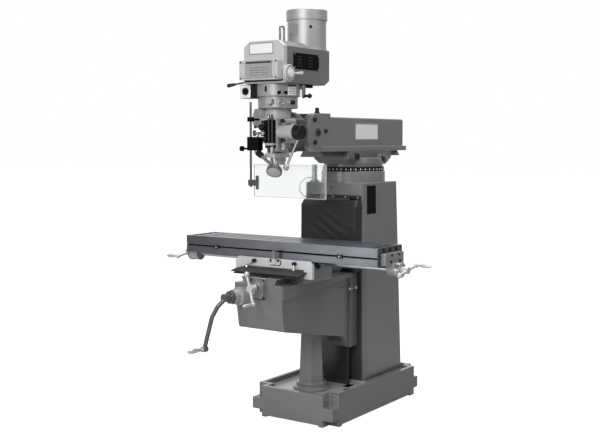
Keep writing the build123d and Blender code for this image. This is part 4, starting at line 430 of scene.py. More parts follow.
clears = dict(
    clearSheet=dict(
        colour=(0.85, 0.87, 0.87), edge=(0.42, 0.45, 0.45), rough=(0.02, 0.09), bend=1.45, edgeRadius=0.004,
        breakScale=20.0, stretch=(0.3, 1.0, 1.0), lineScale=60.0, cloudScale=9.0, on=["guard_shield"]),
)
inkLook = dict(rough=(0.4, 0.55), blotchScale=160.0, peelScale=1200.0, slot="silver_paint")
inks = dict(
    lampGlass=dict(colour=(0.52, 0.525, 0.525), shade=(0.4, 0.405, 0.405), slot="clear_sheet"),
    whiteInk=dict(colour=(0.78, 0.78, 0.77), shade=(0.66, 0.66, 0.65)),
    darkInk=dict(colour=(0.03, 0.03, 0.031), shade=(0.018, 0.018, 0.019), slot="black_plastic"),
    greyInk=dict(colour=(0.3, 0.305, 0.305), shade=(0.265, 0.27, 0.27)),
    edgeInk=dict(colour=(0.55, 0.57, 0.57), shade=(0.48, 0.5, 0.5)),
    whitePlate=dict(colour=(0.86, 0.86, 0.855), shade=(0.81, 0.81, 0.805)),
    greyPlate=dict(colour=(0.35, 0.355, 0.355), shade=(0.31, 0.315, 0.315)),
)

finishes, slotOf, worn = {}, {}, 0
for makeFinish, common, looks in (
        (paintFinish, paintLook, paints), (metalFinish, metalLook, metals), (rubberFinish, {}, rubbers),
        (clearFinish, {}, clears), (inkFinish, inkLook, inks)):
    for name, changes in looks.items():
        look = {**common, **changes}
        finishes[name], slotOf[name] = makeFinish(name, look), look.get("slot")
        for nodeName in look.get("on", ()):
            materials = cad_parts[nodeName].data.materials
            materials.clear()
            materials.append(finishes[name])
            worn += 1
print("finishes on", worn, "nodes")


# Mesh helpers: places are in millimetres on the part's own axes

toFront, toRight, upward = (0, -1, 0), (1, 0, 0), (0, 0, 1)
mergeDistance = 1e-6
leastCorner = 0.2


def seat(point, out, up=upward):
    # a local frame on a surface: z leaves the surface, y is as near to up as it can be
    zAxis = Vector(out).normalized()
    if abs(zAxis.dot(Vector(up))) > 0.99:  # out and up are the same line
        up = (0, 1, 0)
    xAxis = Vector(up).cross(zAxis).normalized()
    yAxis = zAxis.cross(xAxis)
    place = Matrix((xAxis, yAxis, zAxis)).transposed().to_4x4()
    place.translation = Vector(point) * mm
    return place


def ringAt(bm, place, points):
    return [bm.verts.new(place @ (Vector(point) * mm)) for point in points]


def bridgeRings(bm, rings, closeEnds=True):
    for lower, upper in zip(rings, rings[1:]):
        for k in range(max(len(lower), len(upper))):
            corners = [lower[k % len(lower)], lower[(k + 1) % len(lower)],
                       upper[(k + 1) % len(upper)], upper[k % len(upper)]]
            loop = [v for n, v in enumerate(corners) if v not in corners[:n]]
            if len(loop) > 2:
                bm.faces.new(loop)
    if closeEnds:
        for ring in (rings[0], rings[-1]):
            if len(ring) > 2:
                bm.faces.new(ring)


def lathe(bm, place, profile, steps=32, flute=0.0):
    # profile: (radius, height) from the seat outwards; every second step is cut in by the flute's depth
    rings = []
    for radius, height in profile:
        turns = steps if radius > 0.01 else 1  # a point on the axis
        points = []
        for k in range(turns):
            angle = 2 * math.pi * k / turns
            reach = max(radius - flute * (k % 2), 0.0)
            points.append((reach * math.cos(angle), reach * math.sin(angle), height))
        rings.append(ringAt(bm, place, points))
    bridgeRings(bm, rings)


def roundedOutline(width, height, corner, steps=5):
    points = []
    for xSide, ySide, start in ((1, 1, 0), (-1, 1, 90), (-1, -1, 180), (1, -1, 270)):
        for k in range(steps + 1):
            angle = math.radians(start + 90 * k / steps)
            points.append((xSide * (width / 2 - corner) + corner * math.cos(angle),
                           ySide * (height / 2 - corner) + corner * math.sin(angle)))
    return points


def stackOutlines(bm, place, width, height, corner, profile, closeEnds=True):
    # a rounded outline, set in and raised step by step
    rings = []
    for inset, rise in profile:
        outline = roundedOutline(width - 2 * inset, height - 2 * inset, max(corner - inset, leastCorner))
        rings.append(ringAt(bm, place, [(x, y, rise) for x, y in outline]))
    bridgeRings(bm, rings, closeEnds)


def slab(bm, place, width, height, depth, corner=2.0, edge=0.6):
    # a plate with round corners and a broken outer edge
    stackOutlines(bm, place, width, height, corner, ((0, 0), (0, depth - edge), (edge, depth)))


def openFrame(bm, look):
    # a narrow border round a sheet
    depth, rim = look["depth"], look["rim"]
    stackOutlines(bm, seat(look["centre"], toFront), *look["size"], look["corner"],
                  ((0, 0), (0, depth), (rim, depth), (rim, 0), (0, 0)), closeEnds=False)


def footFillet(bm, look):
    # the hollow round where a casting meets its floor
    radius, inside = look["radius"], look["inside"]
    profile = [(inside, 0.0)]
    for k in range(look["steps"] + 1):
        angle = math.radians(90 * k / look["steps"])
        profile.append((radius * math.sin(angle) - radius, radius - radius * math.cos(angle)))
    profile += [(inside, radius), (inside, 0.0)]
    place = Matrix.Translation(Vector(look["centre"]) * mm)
    stackOutlines(bm, place, *look["size"], look["corner"], profile, closeEnds=False)


def wrapPlate(bm, drum, angles, low, high, depth, bow=0.0, steps=14, sunk=1.0):
    # a thin plate bent round a drum; its lower edge may bow upwards between the ends
    rings = []
    for k in range(steps + 1):
        share = k / steps
        angle = math.radians(angles[0] + (angles[1] - angles[0]) * share)
        edge = low + bow * math.sin(math.pi * share)
        inner, outer = drum["r"] - sunk, drum["r"] + depth
        rings.append(ringAt(bm, Matrix(), [
            (drum["x"] + radius * math.sin(angle), drum["y"] - radius * math.cos(angle), z)
            for radius, z in ((inner, edge), (outer, edge), (outer, high), (inner, high))]))
    bridgeRings(bm, rings)


def linkMesh(name, body, finish, mesh, sharpAngle=35.0):
    mesh.polygons.foreach_set("use_smooth", [True] * len(mesh.polygons))
    mesh.set_sharp_from_angle(angle=math.radians(sharpAngle))
    mesh.materials.clear()
    mesh.materials.append(finishes[finish])
    piece = bpy.data.objects.new(name, mesh)
    scene.collection.objects.link(piece)
    if body is not None:  # a sheet between two bodies, as the way cover, is left without a parent
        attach(piece, body)
    return piece


def makePiece(name, body, finish, shape, *sizes, slot=None, sharpAngle=35.0, **more):
    bm = bmesh.new()
    shape(bm, *sizes, **more)
    bmesh.ops.remove_doubles(bm, verts=bm.verts, dist=mergeDistance)
    bmesh.ops.recalc_face_normals(bm, faces=bm.faces)
    mesh = bpy.data.meshes.new(name)
    bm.to_mesh(mesh)
    bm.free()
    return linkMesh(name, body, finish, mesh, sharpAngle)


# Geometry Nodes: screws on spots, marks round a dial or along a rule, louvres in rows

def finishInstances(tree, start, end, instances):
    realize = addNode(tree, "GeometryNodeRealizeInstances", {"Geometry": instances.outputs["Instances"]})
    paint = addNode(tree, "GeometryNodeSetMaterial", {
        "Geometry": realize.outputs["Geometry"], "Material": start["Material"]})
    feed(end, {"Geometry": paint.outputs["Geometry"]})


def capScrewTree():
    # cap screws with a hexagon socket, one on each vertex, standing along the attribute "facing"
    tree, start, end = makeGroup(
        "capScrews", "GeometryNodeTree",
        [("Geometry", "Geometry"), ("Head Radius", "Float", 0.005), ("Head Height", "Float", 0.005),
         ("Socket Share", "Float", 0.58), ("Socket Depth", "Float", 0.003), ("Material", "Material")],
        [("Geometry", "Geometry")])
    head = addNode(tree, "GeometryNodeMeshCylinder", {
        "Vertices": 20, "Radius": start["Head Radius"], "Depth": start["Head Height"]})
    socket = addNode(tree, "GeometryNodeMeshCylinder", {
        "Vertices": 6, "Radius": mathNode(tree, "MULTIPLY", start["Head Radius"], start["Socket Share"]),
        "Depth": mathNode(tree, "MULTIPLY", start["Socket Depth"], 2.0)})
    lift = joinXYZ(tree, {"Z": mathNode(tree, "MULTIPLY", start["Head Height"], 0.5)})
    cutter = addNode(tree, "GeometryNodeTransform", {"Geometry": socket.outputs["Mesh"], "Translation": lift})
    cut = addNode(tree, "GeometryNodeMeshBoolean", {
        "Mesh 1": head.outputs["Mesh"], "Mesh 2": cutter.outputs["Geometry"]}, operation="DIFFERENCE")
    screw = addNode(tree, "GeometryNodeTransform", {"Geometry": cut.outputs["Mesh"], "Translation": lift})
    facing = addNode(tree, "GeometryNodeInputNamedAttribute", {"Name": "facing"}, data_type="FLOAT_VECTOR")
    turn = addNode(tree, "FunctionNodeAlignRotationToVector", {"Vector": facing.outputs["Attribute"]}, axis="Z")
    finishInstances(tree, start, end, addNode(tree, "GeometryNodeInstanceOnPoints", {
        "Points": start["Geometry"], "Instance": screw.outputs["Geometry"],
        "Rotation": turn.outputs["Rotation"]}))
    return tree


def markTree(name, extra, placePoints):
    # ticks on numbered points: every "Every"-th is long, the others are "Short Share" of it
    tree, start, end = makeGroup(
        name, "GeometryNodeTree",
        [("Count", "Int", 20), ("Every", "Int", 5), ("Tick Size", "Vector", (0.001, 0.001, 0.001)),
         ("Short Share", "Vector", (1.0, 1.0, 0.6)), *extra, ("Material", "Material")],
        [("Geometry", "Geometry")])
    number = addNode(tree, "GeometryNodeInputIndex").outputs["Index"]
    spot, turn = placePoints(tree, start, number)
    points = addNode(tree, "GeometryNodePoints", {"Count": start["Count"], "Position": spot})
    short = mathNode(tree, "GREATER_THAN", mathNode(tree, "MODULO", number, start["Every"]), 0.5)
    size = addNode(tree, "ShaderNodeMix", {0: short, 4: (1.0, 1.0, 1.0), 5: start["Short Share"]},
                   data_type="VECTOR")
    tick = addNode(tree, "GeometryNodeMeshCube", {"Size": start["Tick Size"]})
    finishInstances(tree, start, end, addNode(tree, "GeometryNodeInstanceOnPoints", {
        "Points": points.outputs["Points"], "Instance": tick.outputs["Mesh"], "Rotation": turn,
        "Scale": size.outputs[1]}))
    return tree


def roundPoints(tree, start, number):
    angle = mathNode(tree, "DIVIDE", mathNode(tree, "MULTIPLY", number, start["Arc"]), start["Count"])
    spot = {axis: mathNode(tree, "MULTIPLY", mathNode(tree, wave, angle), start["Radius"])
            for axis, wave in (("X", "COSINE"), ("Y", "SINE"))}
    return joinXYZ(tree, spot), joinXYZ(tree, {"Z": angle})


def rowPoints(tree, start, number):
    # numbered along a row of "Columns", then on to the next row
    column = mathNode(tree, "MODULO", number, start["Columns"])
    row = mathNode(tree, "FLOOR", mathNode(tree, "DIVIDE", number, start["Columns"]))
    pitch = addNode(tree, "ShaderNodeSeparateXYZ", {0: start["Pitch"]}).outputs
    spot = {axis: mathNode(tree, "MULTIPLY", step, pitch[axis]) for axis, step in (("X", column), ("Y", row))}
    return joinXYZ(tree, spot), joinXYZ(tree, {"X": start["Tilt"]})


capScrews = capScrewTree()
dialMarks = markTree("dialMarks", [("Radius", "Float", 0.04), ("Arc", "Float", 2 * math.pi)], roundPoints)
rowMarks = markTree("rowMarks", [("Columns", "Int", 10), ("Pitch", "Vector", (0.002, 0.01, 0.0)),
                                 ("Tilt", "Float", 0.0)], rowPoints)


def growTree(name, tree, seedMesh, inputs, place=None):
    # runs a tree on a seed and gives back a plain mesh
    seed = bpy.data.objects.new(name, seedMesh)
    scene.collection.objects.link(seed)
    modifier = seed.modifiers.new("grow", "NODES")
    modifier.node_group = tree
    for item in tree.interface.items_tree:
        if item.item_type == "SOCKET" and item.in_out == "INPUT" and item.name in inputs:
            modifier[item.identifier] = inputs[item.name]
    seed.update_tag()
    bpy.context.view_layer.update()
    grown = bpy.data.meshes.new_from_object(seed.evaluated_get(bpy.context.evaluated_depsgraph_get()))
    seed.modifiers.remove(modifier)
    bpy.data.objects.remove(seed)
    grown.name = name
    if place is not None:
        grown.transform(place)
    return grown


def screwSet(name, body, finish, sizes, spots, socketShare=0.58, socketDepth=0.6):
    # spots: (point, facing) pairs in millimetres; the socket is a share of the head's radius and height
    seedMesh = bpy.data.meshes.new(name + "Spots")
    seedMesh.from_pydata([Vector(point) * mm for point, facing in spots], [], [])
    directions = seedMesh.attributes.new("facing", "FLOAT_VECTOR", "POINT")
    for k, (point, facing) in enumerate(spots):
        directions.data[k].vector = Vector(facing).normalized()
    radius, height = sizes
    grown = growTree(name, capScrews, seedMesh, {
        "Head Radius": radius * mm, "Head Height": height * mm, "Socket Share": socketShare,
        "Socket Depth": socketDepth * height * mm, "Material": finishes[finish]})
    return linkMesh(name, body, finish, grown)


def markSet(name, tree, body, finish, place, inputs):
    grown = growTree(name, tree, bpy.data.meshes.new(name + "Seed"),
                     {**inputs, "Material": finishes[finish]}, place)
    return linkMesh(name, body, finish, grown)


print("helpers and node trees ready")


# Rubber goods

def ringedSheet(bm, outer, inner):
    # two matching grids of points, outside and inside, closed along all four edges
    rows, columns = len(outer), len(outer[0])
    skins = [[ringAt(bm, Matrix(), row) for row in grid] for grid in (outer, inner)]
    for skin in skins:
        for r in range(rows - 1):
            for c in range(columns - 1):
                bm.faces.new((skin[r][c], skin[r][c + 1], skin[r + 1][c + 1], skin[r + 1][c]))
    rim = [(0, c) for c in range(columns)] + [(r, columns - 1) for r in range(1, rows)]
    rim += [(rows - 1, c) for c in range(columns - 2, -1, -1)] + [(r, 0) for r in range(rows - 2, 0, -1)]
    for (r, c), (nextR, nextC) in zip(rim, rim[1:] + rim[:1]):
        bm.faces.new((skins[0][r][c], skins[0][nextR][nextC], skins[1][nextR][nextC], skins[1][r][c]))


sheetAngle = 50.0
wayCoverLook = dict(
    half=195.0, back=-60.4, top=1231.0, bottom=821.0, corner=18.0, thick=4.0, flap=14.0,
    reach=((0.0, 40.0), (0.035, 54.0), (0.085, 66.0), (0.5, 69.0), (0.9, 67.0), (1.0, 64.0)),
    drawIn=((0.0, 8.0), (0.035, 4.0), (0.085, 0.5), (0.5, 2.0), (1.0, 4.0)), rows=56, rowBias=1.15,
    cornerSteps=6, frontSteps=12, clamped=20.0, wave=0.96, waveTurn=0.031, waveDrift=7.0, crease=2.4,
    creasePitch=62.0, creaseLean=0.45, creaseSway=18.0, swayPitch=70.0, creaseSpan=120.0, blendFrom=0.04,
    blendPast=0.01)


def alongCurve(knots, share):
    for (a, low), (b, high) in zip(knots, knots[1:]):
        if share <= b:
            t = (share - a) / (b - a)
            return low + (high - low) * t * t * (3 - 2 * t)
    return knots[-1][1]


def coverRing(look, share, inset):
    half = look["half"] - alongCurve(look["drawIn"], share) - inset
    back = look["back"]
    front = back - alongCurve(look["reach"], share) + inset
    corner = look["corner"] - inset
    z = look["top"] + (look["bottom"] - look["top"]) * share
    path = [(-half, back), (-half, back - look["flap"]), (-half, (back + front + corner) / 2)]
    for k in range(look["cornerSteps"] + 1):
        angle = math.radians(180 + 90 * k / look["cornerSteps"])
        path.append((-half + corner + corner * math.cos(angle), front + corner + corner * math.sin(angle)))
    path += [(-half + corner + (half - corner) * k / look["frontSteps"], front)
             for k in range(1, look["frontSteps"] + 1)]
    path += [(-x, y) for x, y in reversed(path[:-1])]
    ring = []
    for x, y in path:
        # slow waves that a hanging rubber sheet keeps, none where it is clamped
        hang = math.sin(math.pi * share)
        drift = math.sin(look["waveTurn"] * x + look["waveDrift"] * share)
        wave = look["wave"] * drift * hang * (x / half) ** 2
        sway = look["creaseLean"] * x + look["creaseSway"] * math.sin(x / look["swayPitch"])
        slant = math.sin(2 * math.pi * (z + sway) / look["creasePitch"])
        crease = look["crease"] * (1 + slant * hang ** 2 * math.cos(x / look["creaseSpan"]) ** 2)
        ring.append((x, y + (wave + crease if y < back - look["clamped"] else 0.0), z))
    return ring


def wayCover(look):
    shares = [(k / look["rows"]) ** look["rowBias"] for k in range(look["rows"] + 1)]
    outer, inner = ([coverRing(look, share, inset) for share in shares] for inset in (0.0, look["thick"]))
    cover = makePiece("rubberWayCover", None, "rubber", ringedSheet, outer, inner, sharpAngle=sheetAngle)
    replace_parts(cover, "way_cover")
    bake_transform(cover)


wayCover(wayCoverLook)

# layers: how much lower, narrower and shorter each mat is
matLook = dict(
    half=222.0, run=84.0, thick=5.0, drop=12.0, sag=1.7, gap=0.5, columns=24, rib=0.9, ribPitch=7.0,
    rowsPerRib=4, ripple=0.48, ripplePitch=47.0,
    layers=dict(wayMatUpper=(0.0, 0.0, 0.0), wayMatLower=(10.0, 12.0, 8.0)))


def matSheet(name, look, lower, inset, shorter):
    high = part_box("saddle_way_mats")[1]
    backY, topZ = high[1] / mm, high[2] / mm - look["gap"]
    run, half = look["run"] - shorter, look["half"] - inset
    rows = int(run / look["ribPitch"] * look["rowsPerRib"])
    outer, inner = [], []
    for r in range(rows + 1):
        share = r / rows
        fall = look["drop"] * share ** look["sag"] + lower
        rib = look["rib"] * 0.5 * (1 + math.cos(2 * math.pi * run * share / look["ribPitch"]))
        y = backY - run * share
        upper, under = [], []
        for k in range(look["columns"] + 1):
            x = -half + 2 * half * k / look["columns"]
            z = topZ - fall + look["ripple"] * share * math.sin(x / look["ripplePitch"] + lower)
            upper.append((x, y, z - look["rib"] + rib))
            under.append((x, y, z - look["thick"]))
        outer.append(upper)
        inner.append(under)
    mat = makePiece(name, "saddle", "rubber", ringedSheet, outer, inner, sharpAngle=sheetAngle)
    return mat


for matName, layer in matLook["layers"].items():
    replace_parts(matSheet(matName, matLook, *layer), "saddle_way_mats")
print("rubber goods made")


# Bare plates, panels and scales, and black strips of painted shade

plates = [
    # name, body, finish, point, out, (width, height, depth, corner)
    ("coverBadgeRim", "head", "plateMetal", (-16, -741.3, 2056), toFront, (158, 62, 2.0, 7)),
    ("coverBadge", "head", "whitePlate", (-16, -743.1, 2056), toFront, (146, 50, 1.0, 4)),
    ("speedPlate", "head", "greyPlate", (8, -799.3, 1945), toFront, (178, 88, 1.2, 2)),
    ("speedPlateHeader", "head", "darkInk", (8, -800.4, 1979), toFront, (164, 10, 0.6, 1)),
    # a black strip below the plate box: painted shadow
    ("coverSlot", "head", "blackPaint", (0, -741.3, 1888), toFront, (252, 9, 1.2, 1)),
    ("rangeStop", "head", "blackPaint", (105, -500, 1874.6), (0, 0, -1), (26, 92, 17.0, 2)),
    # a black strip in the table's front groove: painted shade
    ("tableGroove", "table", "blackPaint", (0, -627.8, 976), toFront, (1264, 8.6, 0.6, 1)),
    # a black slab round the stop bracket's foot: painted shadow
    ("stopFootEdge", "saddle", "blackPaint", (14, -665, 919.6), toFront, (83, 35, 1.0, 16)),
    # a black outline round the bearing plate: painted shade
    ("bearingEdge", "knee", "blackPaint", (0, -804.2, 793), toFront, (91, 111, 1.0, 5)),
    ("bearingPlate", "knee", "castingPaint", (0, -804.6, 793), toFront, (85, 105, 1.4, 4)),
    ("switchPlate", "head", "whitePlate", (-137, -720.3, 1835.5), toFront, (66, 68, 2.0, 3)),
    ("panDrain", "frame", "blackPaint", (142, -118, 149.5), upward, (44, 72, 1.6, 3)),
    ("ventPanel", "head", "blackPaint", (130, -537, 1993.5), toRight, (240, 84, 3.0, 3)),
    ("stopPanel", "head", "blackPaint", (25.5, -717.3, 1609), toFront, (67, 148, 3.0, 2)),
    ("stopRail", "head", "blackPaint", (1, -720.0, 1622), toFront, (16, 116, 12.0, 2)),
    ("stopScale", "head", "edgeInk", (60, -703, 1602), toRight, (20, 150, 1.6, 1)),
    ("ramPlateRim", "ram", "plateMetal", (105, 137.5, 1624.5), toRight, (266, 102, 2.0, 7)),
    ("ramPlate", "ram", "whitePlate", (106.9, 137.5, 1624.5), toRight, (250, 86, 1.0, 4)),
    ("columnPlate", "frame", "blackPaint", (205.2, 28, 1230), (1, 0, 0.0137), (100, 164, 1.6, 3)),
    ("coverClamp", "frame", "blackSteel", (0, -60, 1247), toFront, (380, 22, 5.0, 2)),
    ("caseSlot", "head", "blackPaint", (7.7, -734.0, 1845), (0.064, -1, 0), (12, 30, 2.4, 4)),
]
for name, body, finish, point, out, sizes in plates:
    makePiece(name, body, finish, slab, seat(point, out), *sizes)

shieldEdge = dict(centre=(167, -743.5, 1362.6), size=(459, 173), depth=5.6, corner=3.0, rim=2.4)
makePiece("shieldEdge", "guard", "edgeInk", openFrame, shieldEdge, slot="clear_sheet")

columnFoot = dict(centre=(0, 166, 150), size=(440, 452), corner=26.0, radius=24.0, inside=6.0, steps=7)
makePiece("columnFoot", "frame", "basePaint", footFillet, columnFoot)

motorDrum = dict(x=0.0, y=-339.3, r=108.0)
caseDrum = dict(x=0.0, y=-615.3, r=120.0)
wraps = [
    # name, finish, drum, angles, low, high, depth, bow of the low edge
    ("motorPlateRim", "plateMetal", motorDrum, (-28.5, 7.9), 2146.5, 2208.5, 1.0),
    ("motorPlate", "greyInk", motorDrum, (-27.0, 6.4), 2149, 2206, 1.5),
    ("rangePlate", "blackPaint", caseDrum, (34.6, 60.4), 1813, 1834, 1.2, 7),
    ("feedPlate", "whitePlate", caseDrum, (62.0, 88.0), 1814, 1868, 1.2),
    ("feedPlateBand", "darkInk", caseDrum, (62.0, 88.0), 1857, 1868, 1.6),
    *[("feedPlateLine" + str(k), "darkInk", caseDrum, (64.0, 86.0), z, z + 3.0, 1.6)
      for k, z in enumerate((1821.0, 1830.0, 1839.0, 1848.0))],
]
for name, finish, *sizes in wraps:
    makePiece(name, "head", finish, wrapPlate, *sizes, slot="silver_paint")

markSet("speedPlateRows", rowMarks, "head", "darkInk", seat((-40, -800.5, 1914), toFront), {
    "Count": 36, "Columns": 9, "Every": 3, "Pitch": (0.0135, 0.0125, 0.0), "Tick Size": (0.0085, 0.004, 0.0008),
    "Short Share": (0.75, 0.8, 1.0)})
markSet("stopScaleTicks", rowMarks, "head", "darkInk", seat((61.7, -708, 1530), toRight, toFront), {
    "Count": 47, "Columns": 47, "Every": 5, "Pitch": (0.0031, 0.0, 0.0), "Tick Size": (0.0008, 0.0062, 0.0005),
    "Short Share": (1.0, 0.5, 1.0)})
markSet("ventLouvres", rowMarks, "head", "blackSteel", seat((132.6, -606, 1968), toRight), {
    "Count": 8, "Columns": 2, "Every": 1, "Pitch": (0.105, 0.0165, 0.0), "Tick Size": (0.040, 0.005, 0.004),
    "Tilt": math.radians(24)})
markSet("turretRingTicks", dialMarks, "turret", "whiteInk", seat((0, 160, 1405), upward, (0, 1, 0)), {
    "Count": 80, "Every": 2, "Radius": 0.1841, "Arc": 2 * math.pi, "Tick Size": (0.0008, 0.0058, 0.012),
    "Short Share": (1.0, 0.25, 0.4)})
print("plates and scales made")


# Screws, bolts, knobs

tableDogs = dict(spots=(-410.0, 410.0), size=(34.0, 22.0, 14.0), corner=2.0, edge=1.0, z=976.0, floor=-628.0)
for k, spot in enumerate(tableDogs["spots"]):
    makePiece("stopDog" + "LR"[k], "table", "blackSteel", slab,
              seat((spot, tableDogs["floor"], tableDogs["z"]), toFront), *tableDogs["size"],
              corner=tableDogs["corner"], edge=tableDogs["edge"])

bothSides = (1, -1)
screws = [
    # name, body, finish, (head radius, head height), spots
    ("speedPlateScrews", "head", "blackSteel", (4.6, 4.0),
     [((x, -791.3, z), toFront) for x in (-115, 115) for z in (1900, 1984)]),
    ("panelScrews", "head", "groundSteel", (4.0, 2.6),
     [((x, -799.3, z), toFront) for x in (-97, 97) for z in (1906, 1979)]
     + [((133, y, z), toRight) for y in (-650, -424) for z in (1958, 2029)]),
    ("turretBolts", "turret", "blackSteel", (18.0, 12.0),
     [((120, 0, 1481), (1, 0, 0)), ((-120, 0, 1481), (-1, 0, 0)),
      ((147.5, 242.6, 1474.6), (0.87, 0.49, 0)), ((-147.5, 242.6, 1474.6), (-0.87, 0.49, 0))]),
    ("cheekBolts", "ram", "blackSteel", (13.0, 8.0),
     [((side * 105, y, z), (side, 0, 0)) for side in bothSides
      for y, z in ((-420, 1688), (-416, 1564), (-308, 1626))]),
    ("trunnionBolts", "adapter", "blackSteel", (13.5, 7.0),
     [((side * 109, -385, 1618.6), (side, 0, 0)) for side in bothSides]),
    ("tiltBolts", "head", "blackSteel", (12.0, 14.0), [((92, -691.5, z), toFront) for z in (1676.6, 1574.6)]),
    ("clampScrews", "frame", "groundSteel", (4.5, 3.0),
     [((x, -65, 1247), toFront) for x in (-170, -85, 0, 85, 170)]),
    ("bracketScrews", "table", "blackSteel", (6.5, 5.0),
     [((side * 663, y, z), (side, 0, 0)) for side in bothSides
      for y, z in ((-466, 990), (-540, 990), (-455, 957), (-550, 957))]),
    ("apronScrews", "saddle", "blackSteel", (5.5, 4.5),
     [((x, -671, z), toFront) for x, z in ((-8, 927), (39, 930))]),
    ("bearingScrews", "knee", "blackSteel", (5.5, 5.0),
     [((x, -805, z), toFront) for x in (-40, 40) for z in (748, 838)]),
    ("dogScrews", "table", "groundSteel", (5.0, 4.0),
     [((spot, tableDogs["floor"] - tableDogs["size"][2], tableDogs["z"]), toFront)
      for spot in tableDogs["spots"]]),
]
for row in screws:
    screwSet(*row)

collarProfile = ((17.5, -6), (17.5, 1), (16.5, 2), (0, 2))
capProfile = ((10.4, -18), (10.4, 0.4), (9, 1.2), (0, 1.2))
knobs = [
    # name, body, finish, point, out, (radius, height) profile
    ("motorPlug", "head", "blackPlastic", (75.4, -413.9, 2194), (0.711, -0.703, 0),
     ((8.5, 0), (8.5, 2.5), (7.5, 3.5), (0, 3.8))),
    ("caseBoss", "head", "polishedSteel", (76, -688.6, 1774), (0.72, -0.69, 0),
     ((19, -6), (19, 5), (17, 7), (10, 7), (10, 5), (0, 5))),
    ("rangeBoss", "head", "polishedSteel", (88.5, -696.4, 1824), (0.737, -0.676, 0),
     ((9, -1), (9, 3), (8, 4), (0, 4.5))),
    ("shiftStem", "head", "polishedSteel", (99.5, -650.8, 1774), (0.95, -0.31, 0),
     ((11, -2), (11, 5), (6, 6), (6, 20))),
    ("shiftKnob", "head", "blackPlastic", (118, -656.8, 1774), (0.95, -0.31, 0),
     ((7, 0), (10, 2), (12, 6), (12, 16), (10.5, 20), (6, 22), (0, 22.6))),
    ("upperCollar", "head", "polishedSteel", (92, -690.3, 1676.6), toFront, collarProfile),
    ("lowerCollar", "head", "polishedSteel", (92, -690.3, 1574.6), toFront, collarProfile),
    ("feedKnob", "head", "blackPlastic", (-20, -717.3, 1645), toFront,
     ((9, 0), (9, 6), (15, 8), (18, 12), (18, 22), (15, 27), (9, 29), (0, 29.6))),
    ("feedKnobPin", "head", "blackSteel", (-30, -733, 1646), (-1, 0, 0),
     ((4, 0), (4, 28), (6.5, 30), (7.5, 34), (6.5, 39), (0, 41))),
    ("feedTrip", "head", "blackSteel", (14, -724, 1673), (-1, 0, 0),
     ((0, 0), (8, 0.6), (8, 9), (5, 10), (5, 16), (8, 17), (8, 25), (5, 26), (5, 32), (8, 33), (8, 40),
      (0, 42))),
    ("feedBoss", "head", "polishedSteel", (-14, -717.3, 1612), toFront,
     ((13, 0), (13, 4), (11, 6), (11, 24), (9, 26), (0, 26.5))),
    ("feedRod", "head", "polishedSteel", (2, -735, 1612.5), (-1, 0, 0),
     ((0, 0), (7.5, 0.6), (7.5, 44), (5.5, 45), (5.5, 56), (7.5, 58), (7.5, 66), (0, 67))),
    ("feedHandle", "head", "blackPlastic", (-68, -735, 1598), upward,
     ((0, 0), (6, 0.8), (8, 4), (8.5, 14), (8, 22), (7, 28), (4, 31), (0, 32))),
    ("feedBall", "head", "polishedSteel", (-45, -735, 1608), (0, 0, -1),
     ((3, 0), (3, 2), (5.5, 4), (7, 8), (5.5, 12.5), (0, 15))),
    ("engageKnob", "head", "blackPlastic", (2, -717.3, 1585), toFront,
     ((7, 0), (7, 14), (10, 15), (11, 18), (11, 25), (9, 28), (0, 29))),
    ("lockCapLeft", "lock_left", "blackPlastic", (-118, -685.3, 922.6), toFront, capProfile),
    ("lockCapRight", "lock_right", "blackPlastic", (148, -685.3, 922.6), toFront, capProfile),
    ("lampJoint", "head", "blackPlastic", (-37, -744.9, 1509.7), (149, -48, -70),
     ((12, 0), (17, 2), (17, 30), (14, 33), (14, 44), (9, 47), (0, 47))),
    ("lampGlass", "lamp", "lampGlass", (120.02, -817.15, 1410.9), (0.2507, -0.6218, -0.7421),
     ((35, -2), (35, 0.6), (31, 1.6), (20, 2.6), (0, 3.2))),
]
for name, body, finish, point, out, profile in knobs:
    makePiece(name, body, finish, lathe, seat(point, out), profile, sharpAngle=28.0)

thumbNuts = [
    # name, body, point, out, (radius, height) profile
    ("stopNut", "quill", (46, -731.3, 1506.6), upward,
     ((9, 0), (11.2, 1.2), (11.2, 13), (9, 14.5), (9, 17), (11.2, 18.5), (11.2, 34), (9, 35.5), (0, 36))),
    ("clampNut", "head", (80, -675, 1566), (0, 0, -1),
     ((6, 0), (6, 9), (12, 9.5), (14.5, 11), (14.5, 24), (11, 25.5), (11, 28), (14.5, 29.5), (14.5, 40),
      (0, 42))),
]
for name, body, point, out, profile in thumbNuts:
    makePiece(name, body, "polishedSteel", lathe, seat(point, out), profile,
              sharpAngle=20.0, steps=44, flute=0.9)

# dial faces and graduations
dialCentre = (152, -706.3, 1924.6)
makePiece("dialFace", "dial", "whitePlate", lathe, seat(dialCentre, toRight),
          ((22, 0), (22, 0.8), (21, 1.2), (0, 1.2)), steps=40)
markSet("dialTicks", dialMarks, "dial", "darkInk", seat((152.2, *dialCentre[1:]), toRight), {
    "Count": 40, "Every": 5, "Radius": 0.0385, "Arc": math.radians(300), "Tick Size": (0.007, 0.0011, 0.0008),
    "Short Share": (0.55, 0.8, 1.0)})
for side, letter in ((-1, "L"), (1, "R")):
    markSet("crankDialTicks" + letter, dialMarks, "table_feed", "darkInk",
            seat((side * 698, -510, 913.6), (side, 0, 0)), {
                "Count": 100, "Every": 10, "Radius": 0.0411, "Arc": 2 * math.pi,
                "Tick Size": (0.0006, 0.0009, 0.011), "Short Share": (1.0, 1.0, 0.55)})
print("screws, knobs and dials made")


# Stage, light and camera

